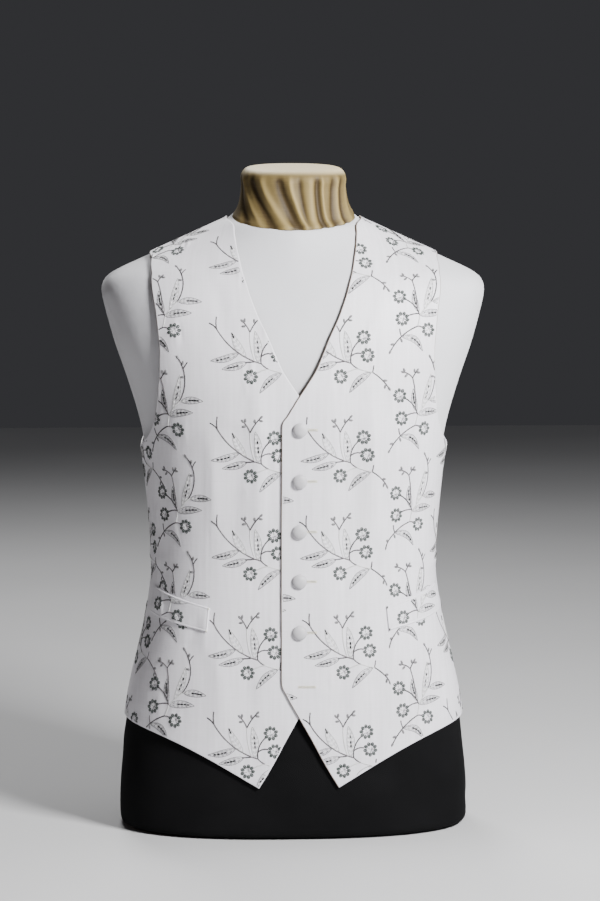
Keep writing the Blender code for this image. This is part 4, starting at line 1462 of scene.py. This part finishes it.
def hole_stitches(x_from, x_to, z, wide):
    """Purl stitches along both sides of a slit, a bar at its end, and the slit itself as dark stitches of painted
    shadow.
    """
    ends_x, ends_z = np.array([x_from, x_to]), np.array([z, z])
    turn = turn_of(ends_x, ends_z, FRONT_WALL, False)
    u, v = to_flat(ends_z, turn, False)
    thread, slit = [], []
    count = int((u[1] - u[0]) / 0.00058)
    for k in range(count + 1):
        at = u[0] + (u[1] - u[0]) * k / count
        for way in (-1, 1):
            ends = at, v[0] + way * 0.0001, at + 0.0001, v[0] + way * wide
            thread.append((*ends, 0.00056, 0.0001, 0.4 + 0.3 * (k % 3)))
    for k in range(4):
        at = u[1] + 0.0003 + 0.0004 * k
        thread.append((at, v[0] - wide * 0.9, at, v[0] + wide * 0.9, 0.0005, 0.00015, 0.6))
    for k in range(4):
        a, b = u[0] + (u[1] - u[0]) * k / 4, u[0] + (u[1] - u[0]) * (k + 1) / 4
        # Painted shadow: dark spindles stand for the shade inside the open slit
        slit.append((a, v[0], b, v[0], 0.0004, 0.00022, 0.2))
    return thread, slit


def buttonholes():
    """The worked holes of the over front as two sewn pieces."""
    thread, slit = [], []
    for k in range(BUTTON_COUNT):
        found = hole_stitches(HOLE_FROM_X, HOLE_TO_X, BUTTON_TOP_Z - k * BUTTON_STEP, 0.0017)
        thread += found[0]
        slit += found[1]
    found = hole_stitches(OPEN_HOLE_X[0], OPEN_HOLE_X[1], OPEN_HOLE_Z, 0.0016)
    made = sewn("buttonhole_thread", 1, np.array(thread + found[0]), 0.00006, "cream", Seed=5)
    # The slits are sewn in the dark shadow thread: painted shadow
    dark = sewn("buttonhole_slit_shadows", 1, np.array(slit + found[1]), 0.00006, "shadow", Seed=6)
    return [made, dark]


def tack_stitches(side):
    """Short bars across a welt's inner corners."""
    corners = WELT_OUTLINE[side]
    out = []
    for corner, inward in ((corners[0], 1), (corners[3], -1)):
        for k in range(3):
            u = corner[0] + side * (0.0004 + 0.0005 * k)
            out.append((u, corner[1] - inward * 0.0006, u, corner[1] + inward * 0.0026, 0.0006, 0.0, 0.4))
    return np.array(out)


BUTTONHOLES = buttonholes()
TACKS = {
    side: sewn(f"welt_tacks_{word}", side, tack_stitches(side), WELT_WALL + 0.0003, thread, Seed=8)
    for side, word, thread in ((1, "left", "charcoal"), (-1, "right", "cream"))
}
print("buttonholes and tacks:", [triangles(piece) for piece in (*BUTTONHOLES, *TACKS.values())])

# %% [markdown]
# ## Covered buttons
#
# A covered button is a round of the same silk drawn tight over a domed shell and gathered behind. So the
# dome is smooth, and only near its rim do small gathers run inwards. A thread shank holds it off the
# cloth. The button stays as it is shown, closed: nothing here turns or slides. Its silk is painted darker
# than the fronts', as painted shade.


# %% Buttons
def make_shaded_button_silk():
    """The silk of the fronts on a small dome, read in Object coordinates, painted darker as painted shade."""
    made, tree, shader = new_finish("button_silk_painted_shade", 0.42, 0.25, Specular_IOR_Level=0.45)
    place = object_place(tree)
    laid = signal(tree, "ShaderNodeMapping", {"Vector": place, "Rotation": (math.pi / 2, 0, 0)})
    weave = woven(tree, laid, 1700.0, 0.02, 0.5)
    tone = soft_change(tree, place, 0.02) * 0.5 + weave["Tone"] * 0.5
    dress(shader, blend_colours(tree, tone, BUTTON_DEEP_SHADED, BUTTON_IVORY_SHADED), weave["Height"], 0.0001)
    return made


BUTTON_SILK_SHADED = make_shaded_button_silk()
BUTTON_SEAT, BUTTON_EDGE, BUTTON_DOME = 0.0005, 0.0016, 0.0034
BUTTON_SIDES, GATHERS, GATHER_HEIGHT = 64, 16, 0.00009
BUTTON_PROFILE = (
    (0.0016, -0.0005, 0.0),
    (0.0016, 0.0, 0.0),
    (0.0068, 0.0001, 0.5),
    (0.0077, 0.0003, 0.9),
    (0.0082, 0.0006, 1.0),
    (0.0084, 0.0011, 0.8),
    (0.0083, 0.0016, 0.5),
    (0.0079, 0.0023, 0.3),
    (0.0072, 0.0031, 0.15),
    (0.006, 0.0038, 0.05),
    (0.0046, 0.0044, 0.0),
    (0.003, 0.0048, 0.0),
    (0.0014, 0.00497, 0.0),
)


def button_cover(name, z, turned):
    """A dome of silk on its thread shank."""
    here = np.array([z])
    turn = turn_of(np.array([BUTTON_X]), here, FRONT_WALL, False)
    seat = front_offset(here, turn, True) + FRONT_WALL + BUTTON_SEAT
    centre, normal = cloth_points(here, turn, seat)[0], form_normals(here, turn)[0]
    across = np.cross([0.0, 0.0, 1.0], normal)
    across /= np.linalg.norm(across)
    up = np.cross(normal, across)
    shell = bmesh.new()
    rings = []
    for radius, height, gathered in BUTTON_PROFILE:
        ring = []
        for k in range(BUTTON_SIDES):
            angle = 2 * math.pi * k / BUTTON_SIDES
            wander = 1.3 * math.sin(3 * angle + turned)
            fold = GATHER_HEIGHT * gathered * math.cos(GATHERS * (angle + turned) + wander)
            way = across * math.cos(angle) + up * math.sin(angle)
            ring.append(shell.verts.new(centre + normal * (height + fold) + way * (radius + fold)))
        rings.append(ring)
    for low, high in zip(rings, rings[1:]):
        for k in range(BUTTON_SIDES):
            shell.faces.new((low[k], low[k - 1], high[k - 1], high[k]))
    crown = shell.verts.new(centre + normal * (BUTTON_EDGE + BUTTON_DOME))
    for k in range(BUTTON_SIDES):
        shell.faces.new((rings[-1][k], rings[-1][k - 1], crown))
    shell.faces.new(rings[0])
    bmesh.ops.recalc_face_normals(shell, faces=shell.faces)
    mesh = bpy.data.meshes.new(name)
    shell.to_mesh(mesh)
    shell.free()
    mesh.shade_smooth()
    mesh.materials.append(BUTTON_SILK_SHADED)
    return placed(name, mesh)


BUTTONS = []
for k in range(BUTTON_COUNT):
    made = button_cover(f"button_{k + 1}_cover", BUTTON_TOP_Z - k * BUTTON_STEP, 0.7 * k)
    BUTTONS.append(finish_piece(made, f"button_{k + 1}"))
print("buttons:", len(BUTTONS), "each", triangles(BUTTONS[0]), "triangles")

# %% [markdown]
# ## The dress form's covers
#
# The form has three covers: white jersey on the torso, dull black cloth on the hips and a gold silk on the
# neck. Each is a closed skin on the form's own sections, finer than the solid. Where two covers meet, both
# turn in a little, which draws the seam. The neck's silk is gathered over its top and pulled down, so it
# gets long folds that run together at the front, and the hips' cloth a few wide soft ones.


# %% Skin of a cover
SHARP_FROM = math.radians(60)


def cover_skin(name, low, high, rows, around, relief, finish, caps):
    """A closed skin between two rings of heights. relief gives how far it stands out."""
    turns = np.linspace(-2, 2, around, endpoint=False)
    share = spread(1.0, rows, np.array([0.0, 0.0015, 0.004, 0.008]))[:, None]
    z = low(turns)[None, :] * (1 - share) + high(turns)[None, :] * share
    turn = np.broadcast_to(turns[None, :], z.shape)
    points = form_points(z, turn) + form_normals(z, turn) * relief(z, turn, share)[..., None]
    count = rows + 2 * 4 - 2
    at = np.arange(count * around).reshape(count, around)
    beside = np.roll(at, -1, axis=1)
    faces = np.stack([at[:-1], beside[:-1], beside[1:], at[1:]], axis=-1).reshape(-1, 4).tolist()
    vertices = points.reshape(-1, 3)
    for row, upward in ((0, False), (count - 1, True)):
        ring, middle = at[row], points[row].mean(axis=0)
        for inset in caps:
            start = len(vertices)
            vertices = np.vstack([vertices, middle + (points[row] - middle) * inset])
            inner = np.arange(start, start + around)
            four = np.stack([ring, np.roll(ring, -1), np.roll(inner, -1), inner], axis=-1)
            faces += (four if upward else four[:, ::-1]).tolist()
            ring = inner
        vertices = np.vstack([vertices, middle])
        tip = len(vertices) - 1
        three = [(a, b, tip) for a, b in zip(ring, np.roll(ring, -1))]
        faces += [face if upward else face[::-1] for face in three]
    faces = [tuple(int(i) for i in face) for face in faces]
    arc = np.interp(z, FLAT_Z, CHARTS[False]["arc"])
    flat = vertices[:, :2].copy()
    flat[: count * around] = np.stack([turn * arc, z], axis=-1).reshape(-1, 2)
    piece = mesh_piece(name, vertices, faces, flat, (finish,))
    piece.data.set_sharp_from_angle(angle=SHARP_FROM)
    return piece


def seam_height(turns, gap):
    """The height at which the slanting neck seam crosses the form."""
    z = np.full(len(turns), NECK_SEAM_Z)
    for _ in range(12):
        points = form_points(z, turns)
        z = z + (NECK_SEAM_Z + gap + NECK_SEAM_SLOPE * points[:, 1] - points[:, 2])
    return z


# %% Materials of the covers
def make_jersey():
    """Matt white jersey: fine upright ribs of knit and a soft change of tone."""
    made, tree, shader = new_finish("white_jersey", 0.78, 0.35, Sheen_Roughness=0.5)
    place = flat_place(tree)
    u, v = x_and_y(tree, place)
    knit = v.wave(0.0009) * 0.4 + u.wave(0.0011)
    tone = knit * 0.08 + soft_change(tree, place, 0.15)
    dress(shader, blend_colours(tree, tone, (0.58, 0.58, 0.61), (0.66, 0.66, 0.69)), knit, 0.00006)
    return made


def make_black_cloth():
    """Dull black twill with a little lint."""
    made, tree, shader = new_finish("black_cloth", 0.85, Specular_IOR_Level=0.06)
    place = flat_place(tree)
    u, v = x_and_y(tree, place)
    tone = noise(tree, place, 900.0, 3.0) * 0.5 + soft_change(tree, place, 0.09) * 0.5
    colour = blend_colours(tree, tone, (0.0025, 0.0025, 0.0028), (0.007, 0.007, 0.0075))
    dress(shader, colour, (u + v).wave(0.001), 0.00008)
    return made


def make_gold_silk():
    """Gold taffeta with an uneven slub, with painted shade in its fold valleys, painted highlight on the ridges and
    painted light on its top.
    """
    made, tree, shader = new_finish("gold_taffeta_painted_light", 0.55, 0.05, Sheen_Roughness=0.35, Specular_IOR_Level=0.22)
    weave = woven(tree, flat_place(tree), 1500.0, 0.03, 0.9)
    # Painted shade and highlight: darker in the fold valleys, lighter on the ridges
    tone = kept_value(tree, "fold") * 0.9 + weave["Tone"] * 0.2
    silk = blend_colours(tree, tone, (0.018, 0.009, 0.003), (0.29, 0.215, 0.085))
    # Painted light: the top of the neck is blended to a pale cream where light falls from above
    colour = blend_colours(tree, kept_value(tree, "pale"), silk, (0.64, 0.54, 0.33))
    dress(shader, colour, weave["Height"], 0.00013)
    return made


JERSEY, BLACK_CLOTH, GOLD_SILK = make_jersey(), make_black_cloth(), make_gold_silk()
print("cover finishes:", JERSEY.name, BLACK_CLOTH.name, GOLD_SILK.name)

# %% Torso, hips and neck
NECK_FOLDS = (
    (-0.92, -0.5, 0.05, -0.0014),
    (-0.78, -0.34, 0.04, 0.0012),
    (-0.6, -0.22, 0.05, -0.002),
    (-0.43, -0.09, 0.05, 0.0019),
    (-0.2, 0.02, 0.055, -0.0029),
    (-0.07, 0.1, 0.03, 0.0022),
    (0.05, 0.13, 0.03, -0.0016),
    (0.18, 0.19, 0.055, 0.0016),
    (0.27, 0.28, 0.045, -0.0027),
    (0.335, 0.34, 0.024, 0.0021),
    (0.5, 0.42, 0.04, -0.0017),
    (0.58, 0.5, 0.026, 0.0016),
    (0.68, 0.57, 0.035, -0.0018),
    (0.84, 0.66, 0.05, 0.0012),
    (1.1, 1.02, 0.07, 0.0014),
    (1.24, 1.12, 0.045, -0.0018),
    (1.42, 1.36, 0.06, 0.0013),
    (1.66, 1.55, 0.06, -0.0017),
    (1.86, 1.8, 0.06, 0.0015),
    (-1.1, -0.98, 0.05, -0.0016),
    (-1.32, -1.22, 0.06, 0.0014),
    (-1.48, -1.4, 0.045, -0.0017),
    (-1.72, -1.72, 0.06, 0.0015),
    (-1.92, -1.94, 0.05, -0.0016),
)
NECK_FOLD_TOP, NECK_FOLD_LOW = 0.757, 0.7
NECK_FOLD_SWEEP = 1.5
# Where the painted light on the neck's top begins and where it is full
NECK_LIT_TOP_FROM, NECK_LIT_TOP_FULL = 0.757, 0.7655
HIP_FOLDS = (
    (-0.8, 0.06, -0.3, 0.048, 0.014, 0.0012),
    (-0.55, 0.028, 0.1, 0.036, 0.012, -0.0009),
    (0.2, 0.046, 0.85, 0.07, 0.015, 0.0012),
    (0.55, 0.024, 1.1, 0.03, 0.011, -0.001),
    (-1.3, 0.08, -0.9, 0.11, 0.016, 0.0012),
    (1.2, 0.07, 1.7, 0.052, 0.015, 0.0013),
    (-1.9, 0.05, -1.4, 0.062, 0.014, -0.0011),
    (0.05, 0.09, 0.55, 0.074, 0.013, -0.0007),
)


def neck_fold_height(z, turn):
    """Long folds of the neck's silk, deepest half way down, flat on the top."""
    down = np.clip((NECK_FOLD_TOP - z) / (NECK_FOLD_TOP - NECK_FOLD_LOW), 0, 1)
    total = np.zeros(z.shape)
    for top, low, width, height in NECK_FOLDS:
        line = top + (low - top) * down**NECK_FOLD_SWEEP
        away = (turn - line + 2) % 4 - 2
        total += height * np.exp(-((away / width) ** 2))
    return total * (1 - smooth_step(z, 0.752, 0.7655))


def hip_fold_height(z, turn):
    """Wide soft folds of the hips' cloth."""
    total = np.zeros(z.shape)
    for t0, z0, t1, z1, width, height in HIP_FOLDS:
        along = (turn - t0) / (t1 - t0)
        line = z0 + (z1 - z0) * along
        taper = np.exp(-(((along - 0.5) / 0.5) ** 4))
        total += height * taper * np.exp(-(((z - line) / width) ** 2))
    return total * (1 - smooth_step(z, 0.15, 0.185))


def keep_fold_shade_and_lit_top(piece, values):
    """Keeps the folds' height, which the finish paints as shade and highlight, and the top where painted light makes
    the silk pale.
    """
    level = np.full(len(piece.data.vertices), 0.85)
    level[: values.size] = values.ravel()
    keep_values(piece.data, "fold", level)
    height = np.array([vertex.co.z for vertex in piece.data.vertices])
    keep_values(piece.data, "pale", smooth_step(height, NECK_LIT_TOP_FROM, NECK_LIT_TOP_FULL))


def level_at(height):
    """A ring at one height."""
    return lambda turns: np.full(len(turns), height)


def torso_relief(z, turn, share):
    """The torso's cover, turned in at both seams."""
    return -COVER_TUCK * (2 - smooth_step(share, 0, 0.004) - smooth_step(1 - share, 0, 0.006))


def hip_relief(z, turn, share):
    """The hips' folds over a flat underside, turned in at the upper seam."""
    return hip_fold_height(z, turn) * smooth_step(z, 0.0, 0.012) - COVER_TUCK * (1 - smooth_step(1 - share, 0, 0.01))


def neck_relief(z, turn, share):
    """The neck's folds, turned in at the seam. The folds' height is kept for the finish, which paints it as shade in
    the valleys and highlight on the ridges.
    """
    KEPT_FOLDS["height"] = neck_fold_height(z, turn)
    return KEPT_FOLDS["height"] - NECK_TUCK * (1 - smooth_step(share, 0, 0.04))


COVER_TUCK, NECK_TUCK = 0.0008, 0.001
KEPT_FOLDS = {}
COVERS = (
    ("torso_cover", level_at(HIP_TOP + SEAM_GAP), lambda turns: seam_height(turns, 0.0), 110, 168, torso_relief, JERSEY),
    ("hip_cover", level_at(0.0), level_at(HIP_TOP), 70, 168, hip_relief, BLACK_CLOTH),
    ("neck_cover", lambda turns: seam_height(turns, SEAM_GAP), level_at(0.768), 90, 260, neck_relief, GOLD_SILK),
)
CAPS = {"torso_cover": (0.85, 0.5), "hip_cover": (0.85, 0.5), "neck_cover": (0.7, 0.4)}
TORSO_COVER, HIP_COVER, NECK_COVER = (cover_skin(*cover, CAPS[cover[0]]) for cover in COVERS)
keep_fold_shade_and_lit_top(NECK_COVER, np.clip(0.4 + KEPT_FOLDS["height"] / 0.0036, 0, 1))
finish_piece(TORSO_COVER, "form_torso")
finish_piece(HIP_COVER, "form_hip")
finish_piece(NECK_COVER, "form_neck")
print("covers:", [triangles(piece) for piece in (TORSO_COVER, HIP_COVER, NECK_COVER)])

# %% [markdown]
# ## What is sewn on each front
#
# For each front, the pieces sewn on it are gathered in a list: its embroidery and its welt's tacks, and
# on the over front also the buttons and the buttonholes.

for side in (1, -1):
    with_front = EMBROIDERY[side] + [TACKS[side]] + (BUTTONS + BUTTONHOLES if side > 0 else [])

# %% [markdown]
# ## Floor, light and camera
#
# A plain pale floor under a dim grey surround keeps the attention on the silk. The key light is soft and
# stands in front, above and to the viewer's right, so that it grazes the creases. A weak warm one fills from
# the left, a soft one above opens the shoulders, and one behind lights the floor and the form's outline. The
# camera looks from a little to the left of the middle, with a long lens.

# %% Stage
FLOOR_SIZE, FLOOR_Z = 5.0, -0.0005


def make_floor():
    """A plain pale floor."""
    made, tree, shader = new_finish("pale_floor", 0.7)
    slow = soft_change(tree, object_place(tree), 0.9)
    set_input(shader, "Base Color", blend_colours(tree, slow, (0.52, 0.52, 0.525), (0.56, 0.56, 0.565)))
    mesh = bpy.data.meshes.new("floor")
    corners = ((-1, -1), (1, -1), (1, 1), (-1, 1))
    mesh.from_pydata([(x * FLOOR_SIZE, y * FLOOR_SIZE, FLOOR_Z) for x, y in corners], [], [(0, 1, 2, 3)])
    mesh.materials.append(made)
    placed("floor", mesh)


def look(thing, place, aim):
    """Puts a light or a camera at a place and turns its -Z to a point, with up kept up."""
    thing.location = place
    thing.rotation_euler = Vector(np.array(aim) - np.array(place)).to_track_quat("-Z", "Y").to_euler()


def soft_light(name, place, aim, size, watts, tint=(1.0, 1.0, 1.0)):
    """A square soft light that faces a point."""
    lamp = bpy.data.lights.new(name, "AREA")
    lamp.size, lamp.energy, lamp.color = size, watts, tint
    look(placed(name, lamp), place, aim)


make_floor()
soft_light("key_light", (1.0, -1.26, 1.3), (0.02, 0.0, 0.45), 0.45, 102.0)
soft_light("fill_light", (-2.6, -1.6, 1.1), (0.0, 0.0, 0.4), 1.6, 2.5, (1.0, 0.74, 0.65))
soft_light("top_light", (0.2, 0.3, 2.4), (0.0, 0.0, 0.5), 1.2, 8.0)
soft_light("back_light", (-0.4, 1.9, 2.4), (0.0, 0.0, 0.4), 0.8, 48.0)
world = bpy.data.worlds.new("dim_surround")
world.use_nodes = True
surround = world.node_tree.nodes["Background"].inputs
surround["Color"].default_value = (0.6, 0.605, 0.66, 1.0)
surround["Strength"].default_value = 0.06
bpy.context.scene.world = world
print("lights: 4 and a dim surround")

# %% Camera
CAMERA_AT, CAMERA_AIM = (-0.18841, -3.59507, 0.8), (0.008, 0.0, 0.437)
CAMERA_LENS, CAMERA_SENSOR = 123.58, 36.0
camera = placed("camera", bpy.data.cameras.new("camera"))
camera.data.lens, camera.data.sensor_width = CAMERA_LENS, CAMERA_SENSOR
look(camera, CAMERA_AT, CAMERA_AIM)
bpy.context.scene.camera = camera
print("camera at", CAMERA_AT)
